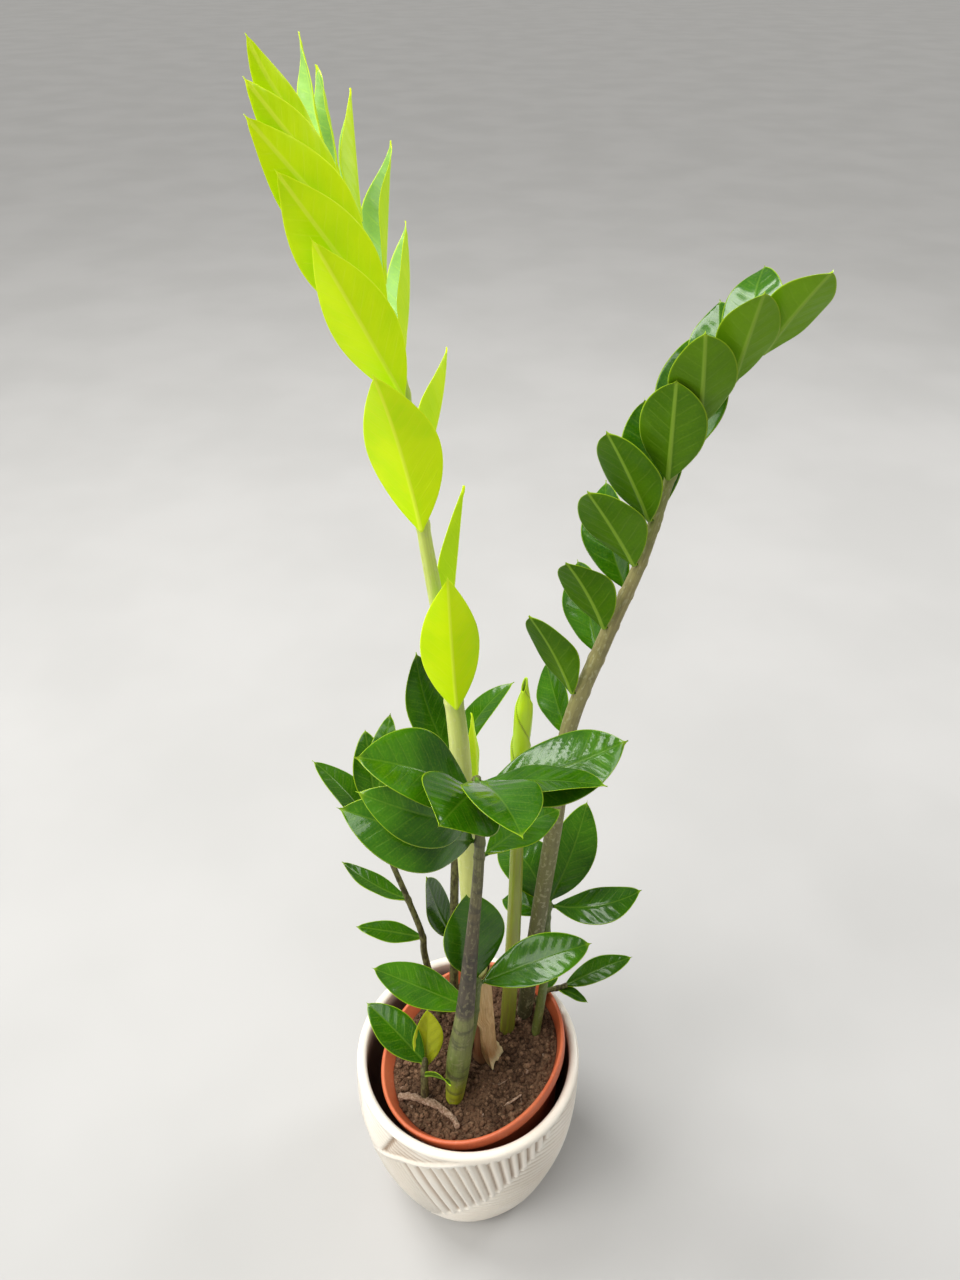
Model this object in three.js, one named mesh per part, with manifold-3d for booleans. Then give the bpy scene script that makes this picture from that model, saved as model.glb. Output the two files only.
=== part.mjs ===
// A potted ZZ plant (Zamioculcas zamiifolia): a nursery pot that sits askew in a glazed cachepot.
// Millimetres, +Z up. The origin is the centre of the cachepot's underside, +X is to the plant's
// right and -Y is its front. The comments call each upright rachis a stalk and its parts leaflets.
import * as THREE from "three";
import { mergeVertices } from "three/addons/utils/BufferGeometryUtils.js";
import Module from "manifold-3d";

const wasm = await Module();
wasm.setup();

// ---------------------------------------------------------------- driving dimensions
const GAP = 0.4; // left between neighbours that touch on the real plant
const CLEAR = 0.3; // a leaflet that would press into a neighbour is cut back by this much

const CACHEPOT = { height: 125, wall: 6.3, floor: 8, floor_radius: 46, lip: 3, sides: 48 };
const CACHEPOT_OUTSIDE = [
  // radius, height
  [50, 0],
  [54.5, 6],
  [61.5, 25],
  [68, 52],
  [71.3, 84],
  [71.2, 108],
  [70.6, 122],
];

const NURSERY_POT = {
  rim_radius: 60,
  foot_radius: 38.4,
  height: 92,
  wall: 1.4,
  band: 9, // the turned-over rim stands this tall
  band_out: 2.6, // and this far off the wall
  sides: 48,
};
const NURSERY_AT = new THREE.Vector3(2.4, -0.3, 127.3); // the middle of its rim
const LEAN = THREE.MathUtils.degToRad(12); // its right side is up
const OVAL = 0.038; // the thin rim is this much out of round
const OVAL_TURN = THREE.MathUtils.degToRad(53);

const SOIL = { below_rim: 9.5, socket: 36, mound: 2.5, depth: 70, clear: 0.7 };
const PLANTED = 0.6; // the sockets in the soil are this much wider than the stalks

const BLADE = { middle: 1.2, edge: 0.7, stub: 2.2 }; // leaflet thicknesses, and its stub's width
const HANG = 0.8; // how far a leaflet joins its stalk by the back of its stub, not by its end
const STALK_SIDES = 8;

// Where a leaflet is widest, as a share of its length, and how blunt its outline is.
const YOUNG = { widest: 0.42, blunt: 0.9 };
const GROWN = { widest: 0.5, blunt: 0.7 };
const ROUND = { widest: 0.55, blunt: 0.62 };

// Each stalk from its foot in the soil to its tip: x, y, z and radius.
const STALKS = {
  lime: [
    [11, -3, 104, 6.2],
    [7, -3, 200, 5.8],
    [2, -2, 293, 5.4],
    [-2, -1, 390, 4.8],
    [-8, 0, 450, 3.6],
    [-15, 1, 505, 2.8],
    [-20, 2, 562, 2.2],
    [-28, 3, 603, 1.8],
    [-38, 3, 630, 1.4],
    [-45, 4, 645, 1],
  ],
  right: [
    [36, 24, 106, 5],
    [41.5, 21, 220, 4.8],
    [47.5, 16, 319, 4.5],
    [51, 15, 385, 4.1],
    [64, 13, 441, 3.6],
    [76, 11, 485, 2.7],
    [84, 9, 529, 2.1],
    [92, 8, 550, 1.8],
    [102, 6, 569, 1.4],
    [110, 5, 579, 1],
  ],
  front: [
    [-9, -28, 104, 4.8],
    [-5, -28, 160, 7.2],
    [-1, -28, 208, 5.4],
    [4, -28, 285, 3.4],
    [7, -28, 332, 2.7],
    [8, -28, 374, 2.3],
    [6, -27, 395, 1.6],
  ],
  spear: [
    [25, 13, 106, 5],
    [27, 17, 180, 4.6],
    [28, 20, 250, 4],
    [28, 20, 340, 3.4],
    [28, 20, 362, 4.4],
    [29, 20, 390, 4.2],
    [29, 20, 416, 2.2],
  ],
  middle: [
    [-5, -14, 106, 2.6],
    [4, -17, 180, 2],
    [7, -19, 228, 1.6],
  ],
  left: [
    [-18, 30, 106, 2.6],
    [-27, 31, 176, 2.2],
    [-28, 31, 199, 2],
    [-35, 31, 233, 1.8],
    [-42, 31, 263, 1.6],
    [-48, 32, 290, 1.4],
    [-50, 33, 312, 1],
  ],
  back: [
    [-10, 36, 106, 3],
    [-8, 37, 226, 2.6],
    [-5, 38, 312, 2],
    [-4, 38, 350, 1.4],
  ],
  low_left: [
    [-27, -26, 104, 2.6],
    [-26, -27, 142, 2.2],
    [-25, -27, 160, 1.4],
  ],
  low_right: [
    [42, 6, 108, 3],
    [48.5, 20, 180, 2.6],
    [48, 27, 220, 2.2],
    [49, 27, 236, 1.6],
  ],
  edge: [
    [42, 30, 110, 1.8],
    [46, 31, 130, 1.7],
    [51, 30, 141, 1.6],
    [58, 29, 146, 1.5],
    [65, 29, 150, 1.2],
  ],
};

// One row a leaflet, in the order they leave the stalk: the height where it leaves, the turn of
// its midrib seen from above (0 is right, 90 is back), its lift over level, its length and width,
// its roll about the midrib (at 0 the upper face looks up), the rise of its arch, and the angle
// that each half is folded up. Degrees and millimetres.
const LIME_LEAFLETS = [
  [359, 100, 66, 40, 13, 125, -1, 20],
  [417, 256, 83, 78, 30, -25, 2, 28],
  [462, 78, 60, 56, 22, 85, 0, 48],
  [508, 240, 71, 77, 33, -30, 6, 30],
  [533, 78, 38, 52, 24, 80, -2, 46],
  [563, 226, 61, 71, 28, -57, 1, 35],
  [577, 90, 42, 53, 23, 62, -2, 50],
  [591, 219, 55, 64, 27, -80, 2, 20],
  [601, 86, 52, 50, 22, 52, 0, 50],
  [613, 217, 50, 58, 23, -88, 1, 16],
  [621, 97, 48, 47, 19, 84, 0, 48],
  [629, 221, 51, 48, 18, -88, 1, 18],
  [634, 106, 46, 41, 16, 62, -1, 46],
  [640, 224, 57, 43, 13, -85, 4, 22],
  [643, 108, 50, 39, 12, 72, 0, 36],
];
const RIGHT_LEAFLETS = [
  [376, 106, 30, 41, 21, 60, 1, 12],
  [410, 168, 62, 47, 26, -62, 2, 6],
  [430, 104, 40, 46, 26, 55, 0, 8],
  [450, 195, 62, 43, 26, -47, 2, 9],
  [467, 107, 51, 49, 27, 62, 5, 14],
  [484, 195, 58, 45, 29, -48, 1, 7],
  [502, 102, 65, 50, 27, 6, 5, 16],
  [506, 193, 62, 47, 27, -40, 1, 7],
  [526, 251, 74, 48, 26, 0, 0, 11],
  [530, 74, 60, 51, 30, 13, -5, 4],
  [549, 249, 66, 46, 25, -20, -2, 11],
  [558, 84, 40, 42, 24, 36, 0, 11],
  [567, 269, 61, 45, 22, 0, 0, 13],
  [573, 74, 37, 42, 24, 28, 4, 11],
  [578, 294, 54, 44, 22, 20, 1, 11],
];
const FRONT_LEAFLETS = [
  [342, 38, -1, 48, 24, 8, 3, 4],
  [352, 191, 30, 71, 35, 55, 17, 12],
  [368, 198, 33, 63, 30, 65, 14, 22],
  [384, 195, 36, 63, 38, 20, 6, 7],
  [386, 5, 22, 68, 36, -14, -4, 1],
  [389, 252, 28, 52, 41, 27, 4, 4],
  [392, 347, 11, 56, 25, 16, 2, 7],
  [394, 290, 20, 56, 35, 12, 5, 11],
];
const MIDDLE_LEAFLETS = [
  [196, 167, 19, 62, 26, 3, 0, 4],
  [224, 9, 20, 65, 27, -20, 4, 7],
  [226, 115, 80, 64, 36, 3, 3, 6],
];
const LEFT_LEAFLETS = [
  [197, 177, 11, 41, 14, 11, 1, 8],
  [234, 162, 25, 45, 15, -7, -3, 7],
  [286, 149, 41, 60, 22, -8, 4, 10],
  [306, 103, 55, 48, 20, 1, 3, 7],
  [307, 76, 54, 56, 18, -2, 3, 8],
];
const BACK_LEAFLETS = [
  [190, 176, 76, 58, 24, 20, -2, 5],
  [330, 40, 49, 60, 23, 19, 9, 10],
  [336, 130, 61, 68, 27, -8, -7, 0],
];
const LOW_LEFT_LEAFLETS = [
  [143, 312, 42, 34, 11, 60, 2, 8],
  [148, 86, 44, 34, 20, -27, 2, 8],
  [155, 143, 24, 49, 23, 12, 4, 7],
];
const LOW_RIGHT_LEAFLETS = [
  [222, 150, -10, 29, 17, 18, 4, 9],
  [231, 130, 17, 46, 34, 5, 18, 9],
  [233, 357, 20, 53, 25, -7, -8, 2],
  [235, 59, 46, 63, 29, -30, 8, 9],
];
const EDGE_LEAFLETS = [
  [140, 82, -12, 24, 14, -12, 3, 7],
  [146, 336, -8, 21, 8, 0, 2, 8],
  [149, 14, 19, 47, 16, -9, 3, 8],
];

// The papery sheath round the lime stalk's foot: height and how far it stands off the stalk.
const SHEATH = [
  [125.5, 2.6],
  [129, 2.4],
  [134, 1.6],
  [175, 1.4],
  [200, 1.2],
  [216, 1],
];
const SHEATH_GAP = 0.5;

// ---------------------------------------------------------------- finishes
function finish(color, roughness, metalness = 0) {
  return new THREE.MeshStandardMaterial({ color, roughness, metalness });
}
const CERAMIC = finish(0xeee8da, 0.3);
const TERRACOTTA = finish(0xc9663f, 0.5);
const EARTH = finish(0x5a4030, 0.95);
const LIME_LEAF = finish(0xb7e02a, 0.4);
const LIME_STALK = finish(0xc8d26e, 0.45);
const DARK_LEAF = finish(0x2c6b1c, 0.25);
const BROWN_STALK = finish(0x8c8055, 0.55);
const GREEN_STALK = finish(0x6f8432, 0.5);
const PAPER = finish(0xc29b61, 0.85);

// ---------------------------------------------------------------- geometry helpers
const point = (x, y, z) => new THREE.Vector3(x, y, z);
const plus = (start, ...steps) =>
  steps.reduce((sum, [step, by]) => sum.addScaledVector(step, by), start.clone());

// A closed skin over rings of equal count, each ring turning anticlockwise about the way ahead.
function loft(rings) {
  const count = rings[0].length;
  const corners = rings.flat();
  const faces = [];
  for (let i = 0; i + 1 < rings.length; i++)
    for (let j = 0; j < count; j++) {
      const a = i * count + j;
      const b = i * count + ((j + 1) % count);
      faces.push(a, b, b + count, a, b + count, a + count);
    }
  const last = (rings.length - 1) * count;
  for (let j = 1; j + 1 < count; j++)
    faces.push(0, j + 1, j, last, last + j, last + j + 1);
  const geometry = new THREE.BufferGeometry().setFromPoints(corners);
  geometry.setIndex(faces);
  return geometry;
}

// The smooth line of a stalk, with its radius kept beside it.
function stalkLine(rows) {
  const line = (points) =>
    new THREE.CatmullRomCurve3(points, false, "catmullrom", 0.5);
  return {
    path: line(rows.map(([x, y, z]) => point(x, y, z))),
    girth: line(rows.map(([, , z, radius]) => point(radius, 0, z))),
  };
}

// How far along a stalk a height is. Stalks only ever rise.
function along(stalk, height) {
  let low = 0;
  let high = 1;
  for (let i = 0; i < 40; i++) {
    const middle = (low + high) / 2;
    if (stalk.path.getPoint(middle).z < height) low = middle;
    else high = middle;
  }
  return low;
}

const footOf = (name) => STALKS[name][0][2];
const tipOf = (name) => STALKS[name].at(-1)[2];

function stalkRings(stalk, heights, offset) {
  return heights.map((height) => {
    const u = along(stalk, height);
    const centre = stalk.path.getPoint(u).setZ(height);
    const ahead = stalk.path.getTangent(u);
    const right = point(0, 1, 0).cross(ahead).normalize();
    const back = ahead.clone().cross(right);
    const radius = stalk.girth.getPoint(u).x + offset(height);
    return Array.from({ length: STALK_SIDES }, (_, j) => {
      const turn = (2 * Math.PI * j) / STALK_SIDES;
      return plus(centre, [right, radius * Math.cos(turn)], [back, radius * Math.sin(turn)]);
    });
  });
}

function stalkGeometry(name, steps, foot = footOf(name), tip = tipOf(name), wider = 0) {
  const heights = Array.from({ length: steps + 1 }, (_, i) => foot + ((tip - foot) * i) / steps);
  return loft(stalkRings(LINES[name], heights, () => wider));
}

// A leaflet's blade: sections of six corners, set square to a gently arched midrib.
function leafletGeometry(name, row, shape, reach = 0, wider = 0) {
  const [height, turn, lift, length, width, roll, arch, fold] = row;
  const [t, l, r, f] = [turn, lift, roll, fold].map(THREE.MathUtils.degToRad);
  const ahead = point(Math.cos(l) * Math.cos(t), Math.cos(l) * Math.sin(t), Math.sin(l));
  const level = ahead.clone().cross(point(0, 0, 1)).normalize();
  const above = level.clone().cross(ahead);
  const side = plus(level.clone().multiplyScalar(Math.cos(r)), [above, Math.sin(r)]);
  const up = plus(above.clone().multiplyScalar(Math.cos(r)), [level, -Math.sin(r)]);

  const stalk = LINES[name];
  const u = along(stalk, height);
  const grain = stalk.path.getTangent(u);
  const away = plus(ahead, [up, -HANG]);
  const out = plus(away, [grain, -away.dot(grain)]).normalize();
  const clear = stalk.girth.getPoint(u).x + GAP + BLADE.stub / 2 - reach;
  const base = plus(stalk.path.getPoint(u), [out, clear]);

  const power = Math.log(0.5) / Math.log(shape.widest);
  const sections = [0, 0.07, 0.2, 0.36, 0.54, 0.72, 0.88, 1].map((s) => {
    const bulge = Math.sin(Math.PI * s ** power) ** shape.blunt;
    const stub = s < 0.5 ? BLADE.stub / 2 : 0.3;
    const half = Math.max((width / 2) * bulge, stub) + wider;
    const reached = (length + 2 * wider) * s - wider;
    const middle = plus(base, [ahead, reached], [up, arch * 4 * s * (1 - s)]);
    const corner = (across, rise) => plus(middle, [side, across], [up, rise]);
    const [reachOut, lifted] = [half * Math.cos(f), half * Math.sin(f)];
    const [thick, thin] = [BLADE.middle / 2 + wider, BLADE.edge / 2 + wider];
    return [
      corner(0, thick),
      corner(reachOut, lifted + thin),
      corner(reachOut, lifted - thin),
      corner(0, -thick),
      corner(-reachOut, lifted - thin),
      corner(-reachOut, lifted + thin),
    ];
  });
  return loft(sections);
}

function solid(geometry) {
  const merged = mergeVertices(
    new THREE.BufferGeometry()
      .setAttribute("position", geometry.getAttribute("position"))
      .setIndex(geometry.index),
    1e-3,
  );
  return new wasm.Manifold(
    new wasm.Mesh({
      numProp: 3,
      vertProperties: merged.attributes.position.array,
      triVerts: new Uint32Array(merged.index.array),
    }),
  );
}

function geometryOf(made) {
  const mesh = made.getMesh();
  return new THREE.BufferGeometry()
    .setAttribute("position", new THREE.BufferAttribute(mesh.vertProperties, 3))
    .setIndex(new THREE.BufferAttribute(mesh.triVerts, 1));
}

const LINES = Object.fromEntries(
  Object.entries(STALKS).map(([name, rows]) => [name, stalkLine(rows)]),
);

const plant = new THREE.Group();
function add(name, geometry, material, parent = plant) {
  const mesh = new THREE.Mesh(geometry, material);
  mesh.name = name;
  parent.add(mesh);
  return mesh;
}

// ---------------------------------------------------------------- pots and soil
const ring = (radius, z) => new THREE.Vector2(radius, z);

// LatheGeometry turns about +Y, so its result is stood up along +Z.
function turned(profile, sides) {
  return new THREE.LatheGeometry(profile, sides).rotateX(Math.PI / 2);
}

function cachepotProfile() {
  const { height, wall, floor, floor_radius, lip: rise } = CACHEPOT;
  const outside = CACHEPOT_OUTSIDE.map(([r, z]) => ring(r, z));
  const lip = [0.25, 0.5, 0.75].map((share) => {
    const turn = Math.PI * share;
    const middle = CACHEPOT_OUTSIDE.at(-1)[0] - wall / 2;
    return ring(middle + (wall / 2) * Math.cos(turn), height - rise + rise * Math.sin(turn));
  });
  const inside = CACHEPOT_OUTSIDE.slice(2)
    .reverse()
    .map(([r, z]) => ring(r - wall, z));
  return [ring(0, 0), ...outside, ...lip, ...inside, ring(floor_radius, floor), ring(0, floor)];
}

// The nursery pot and its soil are drawn upright about their own rim, then leaned together.
const leaning = new THREE.Group();
leaning.position.copy(NURSERY_AT);
leaning.rotation.y = -LEAN;
plant.add(leaning);

function nurseryRadius(z) {
  const { rim_radius, foot_radius, height, band_out } = NURSERY_POT;
  return foot_radius + (rim_radius - band_out - foot_radius) * (1 + z / height);
}

function nurseryProfile() {
  const { rim_radius, foot_radius, height, wall, band } = NURSERY_POT;
  return [
    ring(0, -height),
    ring(foot_radius, -height),
    ring(nurseryRadius(-band), -band),
    ring(rim_radius - 0.6, -band),
    ring(rim_radius, -1.2),
    ring(rim_radius - 1, 0),
    ring(rim_radius - 2.6, 0),
    ring(nurseryRadius(-band) - wall, -band),
    ring(foot_radius - wall, wall - height),
    ring(0, wall - height),
  ];
}

function soilProfile() {
  const { below_rim, mound, depth, clear } = SOIL;
  const edge = (z) => nurseryRadius(z) - NURSERY_POT.wall - clear;
  const top = -below_rim;
  return [
    ring(0, top - depth),
    ring(edge(top - depth), top - depth),
    ring(edge(top), top),
    ring(edge(top) - 9, top + mound * 0.5),
    ring(22, top + mound),
    ring(0, top + mound * 1.1),
  ];
}

// The oval is a stretch along one level direction, held between two opposite turns.
function squeezed(geometry) {
  return geometry
    .rotateZ(-OVAL_TURN)
    .scale(1 + OVAL, 1 - OVAL, 1)
    .rotateZ(OVAL_TURN);
}

function soilGeometry() {
  leaning.updateMatrix();
  const body = squeezed(turned(soilProfile(), NURSERY_POT.sides)).applyMatrix4(leaning.matrix);
  const socket = (name) => {
    const foot = footOf(name) - PLANTED;
    return solid(stalkGeometry(name, 4, foot, foot + SOIL.socket, PLANTED));
  };
  return geometryOf(
    Object.keys(STALKS).reduce((earth, name) => earth.subtract(socket(name)), solid(body)),
  );
}

add("cachepot", turned(cachepotProfile(), CACHEPOT.sides), CERAMIC);
add("nursery_pot", squeezed(turned(nurseryProfile(), NURSERY_POT.sides)), TERRACOTTA, leaning);
add("soil", soilGeometry(), EARTH);

// ---------------------------------------------------------------- the plant
function sheathGeometry() {
  const heights = SHEATH.map(([height]) => height);
  const off = new Map(SHEATH);
  const outside = solid(loft(stalkRings(LINES.lime, heights, (z) => SHEATH_GAP + off.get(z))));
  const bore = [heights[0] - 6, ...heights, heights.at(-1) + 6];
  const inside = solid(loft(stalkRings(LINES.lime, bore, () => SHEATH_GAP)));
  return geometryOf(outside.subtract(inside));
}

// Pieces cut their later neighbours with a slightly swollen copy of themselves.
const swollen = Object.keys(STALKS).map((name) =>
  solid(stalkGeometry(name, 16, footOf(name), tipOf(name), CLEAR)),
);

function cutBack(made) {
  return swollen.reduce((rest, other) => {
    if (rest.intersect(other).volume() === 0) return rest;
    const bodies = rest.subtract(other).decompose();
    return bodies.sort((one, two) => two.volume() - one.volume())[0];
  }, made);
}

// A stalk and its leaflets as separate pieces.
function shoot(name, rows, stalkFinish, leafFinish, shapeOf) {
  add(`${name}_stalk`, stalkGeometry(name, 16), stalkFinish);
  rows.forEach((row, i) => {
    const number = String(i + 1).padStart(2, "0");
    const blade = cutBack(solid(leafletGeometry(name, row, shapeOf(row))));
    add(`${name}_leaflet_${number}`, geometryOf(blade), leafFinish);
    swollen.push(solid(leafletGeometry(name, row, shapeOf(row), 0, CLEAR)));
  });
}

// A small stalk grown together with its leaflets.
function wholeShoot(name, rows, material) {
  const REACH = 2.6; // how far each leaflet is sunk towards the stalk's middle
  const made = rows.reduce(
    (body, row) => body.add(solid(leafletGeometry(name, row, GROWN, REACH))),
    solid(stalkGeometry(name, 8)),
  );
  add(`${name}_shoot`, geometryOf(made), material);
}

shoot("lime", LIME_LEAFLETS, LIME_STALK, LIME_LEAF, () => YOUNG);
add("lime_sheath", sheathGeometry(), PAPER);
shoot("right", RIGHT_LEAFLETS, BROWN_STALK, DARK_LEAF, ([z]) => (z > 555 ? GROWN : ROUND));
shoot("front", FRONT_LEAFLETS, GREEN_STALK, DARK_LEAF, ([, , , , w]) => (w < 25 ? GROWN : ROUND));
shoot("middle", MIDDLE_LEAFLETS, GREEN_STALK, DARK_LEAF, () => ROUND);
shoot("low_right", LOW_RIGHT_LEAFLETS, GREEN_STALK, DARK_LEAF, () => GROWN);
wholeShoot("left", LEFT_LEAFLETS, DARK_LEAF);
wholeShoot("back", BACK_LEAFLETS, DARK_LEAF);
wholeShoot("low_left", LOW_LEFT_LEAFLETS, DARK_LEAF);
wholeShoot("edge", EDGE_LEAFLETS, DARK_LEAF);
add("spear_shoot", stalkGeometry("spear", 12), LIME_LEAF);

export default plant;
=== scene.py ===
# %% [markdown]
# # A potted ZZ plant
# Two tall shoots, a low rosette and some small old shoots grow from one crown. They stand in a thin
# terracotta-coloured nursery pot, which leans in a wide cream cachepot with carved leaves. The packed
# model fixes the size and place of every piece. Each piece is made again here in mesh code, because the
# looks of a plant are in its thin edges, ribs and veins, which the plain solids leave out.

# %% Load the frame
import math
from itertools import combinations

import bmesh
import bpy
import numpy as np
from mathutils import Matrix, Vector, noise


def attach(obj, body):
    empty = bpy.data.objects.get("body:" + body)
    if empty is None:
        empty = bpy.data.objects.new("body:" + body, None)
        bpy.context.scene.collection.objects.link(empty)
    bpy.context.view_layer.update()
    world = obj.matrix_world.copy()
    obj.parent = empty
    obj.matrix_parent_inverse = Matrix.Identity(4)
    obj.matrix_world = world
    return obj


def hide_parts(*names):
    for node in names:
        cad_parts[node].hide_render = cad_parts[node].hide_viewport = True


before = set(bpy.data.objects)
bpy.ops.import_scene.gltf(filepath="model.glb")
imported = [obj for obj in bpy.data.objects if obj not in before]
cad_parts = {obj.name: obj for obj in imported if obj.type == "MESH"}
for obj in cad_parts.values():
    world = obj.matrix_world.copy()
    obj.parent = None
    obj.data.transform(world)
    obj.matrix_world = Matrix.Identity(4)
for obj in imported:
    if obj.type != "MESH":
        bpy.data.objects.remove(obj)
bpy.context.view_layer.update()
MM = .001
SEED = 41
chance = np.random.RandomState(SEED)

# %% [markdown]
# ## Camera, floor and light
# The camera looks down at 37 degrees, from above the plant's top. The plant is glossy, so most of its
# light comes from large soft panels. The one behind and above puts white gleams on leaves that face up,
# one at the front left lights the pot, and a small one at the back right adds a few sharper gleams. A
# broad soft sun stands for daylight. Standard colour keeps the young leaves as vivid as they are.

# %% Camera
DOWN = 37      # how far the camera looks down, in degrees
scene = bpy.context.scene
scene.view_settings.view_transform = "Standard"
lens = bpy.data.cameras.new("camera")
lens.sensor_fit, lens.sensor_width, lens.lens = "AUTO", 36, 27.03
lens.clip_start, lens.clip_end = .01, 100
camera = bpy.data.objects.new("camera", lens)
camera.location = (.0077, -.334, .703)
camera.rotation_euler = (math.radians(90 - DOWN), 0, 0)
scene.collection.objects.link(camera)
scene.camera = camera
print("camera at", tuple(camera.location))


# %% Soft lights and the pale surroundings
def panel(name, place, target, size, power, colour):
    """A square area light at a place, turned to face a target."""
    light = bpy.data.lights.new(name, "AREA")
    light.shape, light.size, light.energy, light.color = "SQUARE", size, power, colour
    lamp = bpy.data.objects.new(name, light)
    lamp.location = place
    lamp.rotation_euler = (Vector(target) - Vector(place)).to_track_quat("-Z", "Y").to_euler()
    scene.collection.objects.link(lamp)


panel("sky_panel", (-.72, .42, 1.85), (0, 0, .3), .75, 25, (1, .99, .97))
panel("window_panel", (-1.45, -.75, 1.5), (0, 0, .25), .7, 11, (1, .985, .95))
panel("gleam_panel", (1.35, .85, 1.2), (0, 0, .4), .5, 8, (1, 1, 1))
daylight = bpy.data.lights.new("daylight", "SUN")
daylight.energy, daylight.angle, daylight.color = 1.35, math.radians(34), (1, .985, .955)
sun = bpy.data.objects.new("daylight", daylight)
sun.rotation_euler = Vector((.55, .5, -1.25)).to_track_quat("-Z", "Y").to_euler()
scene.collection.objects.link(sun)

surroundings = bpy.data.worlds.new("surroundings")
surroundings.use_nodes = True
backdrop = surroundings.node_tree.nodes["Background"]
backdrop.inputs["Color"].default_value = (.80, .79, .77, 1)
backdrop.inputs["Strength"].default_value = .46
scene.world = surroundings
print(len(bpy.data.lights), "lights")

# %% [markdown]
# ## Shader arithmetic
# A finish is easier to read as sums than as boxes and lines. `Wire` stands for one socket, and the
# operators on it add Math nodes. `Paint` owns a material: one method makes any other node, and a few
# short ones give the nodes that every finish here uses. Colours go through Mix nodes, since a Math node
# would turn them grey.


# %% Wire and Paint
class Wire:
    """One node socket that can be used in arithmetic."""

    def __init__(self, paint, socket):
        self.paint, self.socket = paint, socket

    def _math(self, operation, *values):
        return self.paint.node("ShaderNodeMath", {"operation": operation}, dict(enumerate(values)))

    def __add__(self, other): return self._math("ADD", self, other)
    def __radd__(self, other): return self._math("ADD", other, self)
    def __sub__(self, other): return self._math("SUBTRACT", self, other)
    def __rsub__(self, other): return self._math("SUBTRACT", other, self)
    def __mul__(self, other): return self._math("MULTIPLY", self, other)
    def __rmul__(self, other): return self._math("MULTIPLY", other, self)
    def __truediv__(self, other): return self._math("DIVIDE", self, other)
    def __rtruediv__(self, other): return self._math("DIVIDE", other, self)
    def __pow__(self, other): return self._math("POWER", self, other)
    def __abs__(self): return self._math("ABSOLUTE", self)
    def highest(self, other): return self._math("MAXIMUM", self, other)
    def fold(self, half): return self._math("PINGPONG", self, half)
    def sine(self): return self._math("SINE", self)

    def step(self, low, high):
        """0 below low, 1 above high, and smooth between."""
        return self.paint.node(
            "ShaderNodeMapRange", {"interpolation_type": "SMOOTHSTEP"},
            {"Value": self, "From Min": low, "From Max": high},
        )


class Paint:
    """A material, its nodes and its principled shader."""

    def __init__(self, name, **constants):
        self.material = bpy.data.materials.new(name)
        self.material.use_nodes = True
        self.tree = self.material.node_tree
        self.shader = self.tree.nodes["Principled BSDF"]
        for socket, value in constants.items():
            self.shader.inputs[socket.replace("_", " ")].default_value = value

    def put(self, socket, value):
        """Links a wire to a socket, or sets a plain number or colour on it."""
        if isinstance(value, Wire):
            self.tree.links.new(value.socket, socket)
        elif socket.type == "RGBA":
            socket.default_value = (*value, 1)
        else:
            socket.default_value = value

    def node(self, kind, settings=None, sockets=None, out=0):
        """Any node: its type, its settings, its sockets by name or number, and the output to use."""
        made = self.tree.nodes.new(kind)
        for name, value in (settings or {}).items():
            setattr(made, name, value)
        for name, value in (sockets or {}).items():
            self.put(made.inputs[name], value)
        return Wire(self, made.outputs[out])

    def mix(self, amount, first, second):
        """From the first colour to the second."""
        return self.node("ShaderNodeMix", {"data_type": "RGBA"}, {0: amount, 6: first, 7: second}, 2)

    def layer(self, name):
        """A number kept on the points of the mesh."""
        return self.node("ShaderNodeAttribute", {"attribute_name": name}, out="Fac")

    def place(self):
        """The point on the piece, in millimetres."""
        point = self.node("ShaderNodeTexCoord", out="Object")
        return self.node("ShaderNodeVectorMath", {"operation": "SCALE"}, {0: point, "Scale": 1 / MM})

    def vector(self, x, y, z):
        return self.node("ShaderNodeCombineXYZ", None, {0: x, 1: y, 2: z})

    def wrap(self, turn, radius, height):
        """A place on a round piece, from its angle and height, that joins up all round."""
        return self.vector((turn + math.pi / 2).sine() * radius, turn.sine() * radius, height)

    def stretch(self, vector, amounts):
        return self.node("ShaderNodeVectorMath", {"operation": "MULTIPLY"}, {0: vector, 1: amounts})

    def noise(self, vector, scale, detail=2.0, rough=.5):
        """Cloudy values round a half; scale is in waves to the millimetre."""
        return self.node(
            "ShaderNodeTexNoise", None,
            {"Vector": vector, "Scale": scale, "Detail": detail, "Roughness": rough}, "Fac",
        )

    def finish(self, colour, roughness, height=None, depth=.0002, strength=.5):
        """Joins colour, roughness and a bump height to the shader."""
        self.put(self.shader.inputs["Base Color"], colour)
        self.put(self.shader.inputs["Roughness"], roughness)
        if height is not None:
            bump = self.node(
                "ShaderNodeBump", None, {"Strength": strength, "Distance": depth, "Height": height})
            self.put(self.shader.inputs["Normal"], bump)
        return self.material


# %% Floor
ground = Paint("pale_floor", Specular_IOR_Level=.2)
ground_mottle = ground.noise(ground.place(), .004, 3).step(.3, .7)
ground.finish(ground.mix(ground_mottle, (.50, .498, .49), (.535, .532, .525)), .8)
bpy.ops.mesh.primitive_plane_add(size=60)
floor = bpy.context.object
floor.name = "floor"
floor.data.materials.append(ground.material)
print("floor", tuple(floor.dimensions))

# %% [markdown]
# ## Skins
# Everything here is a closed shell drawn through rings of points: a leaf blade, a stalk, a pot's wall.
# So one helper takes the rings, joins neighbours with four-sided faces and closes both ends. Each ring
# point can carry numbers, such as how far it is from the leaf's margin. The finishes read those, so
# veins follow the leaf however it bends.


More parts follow.
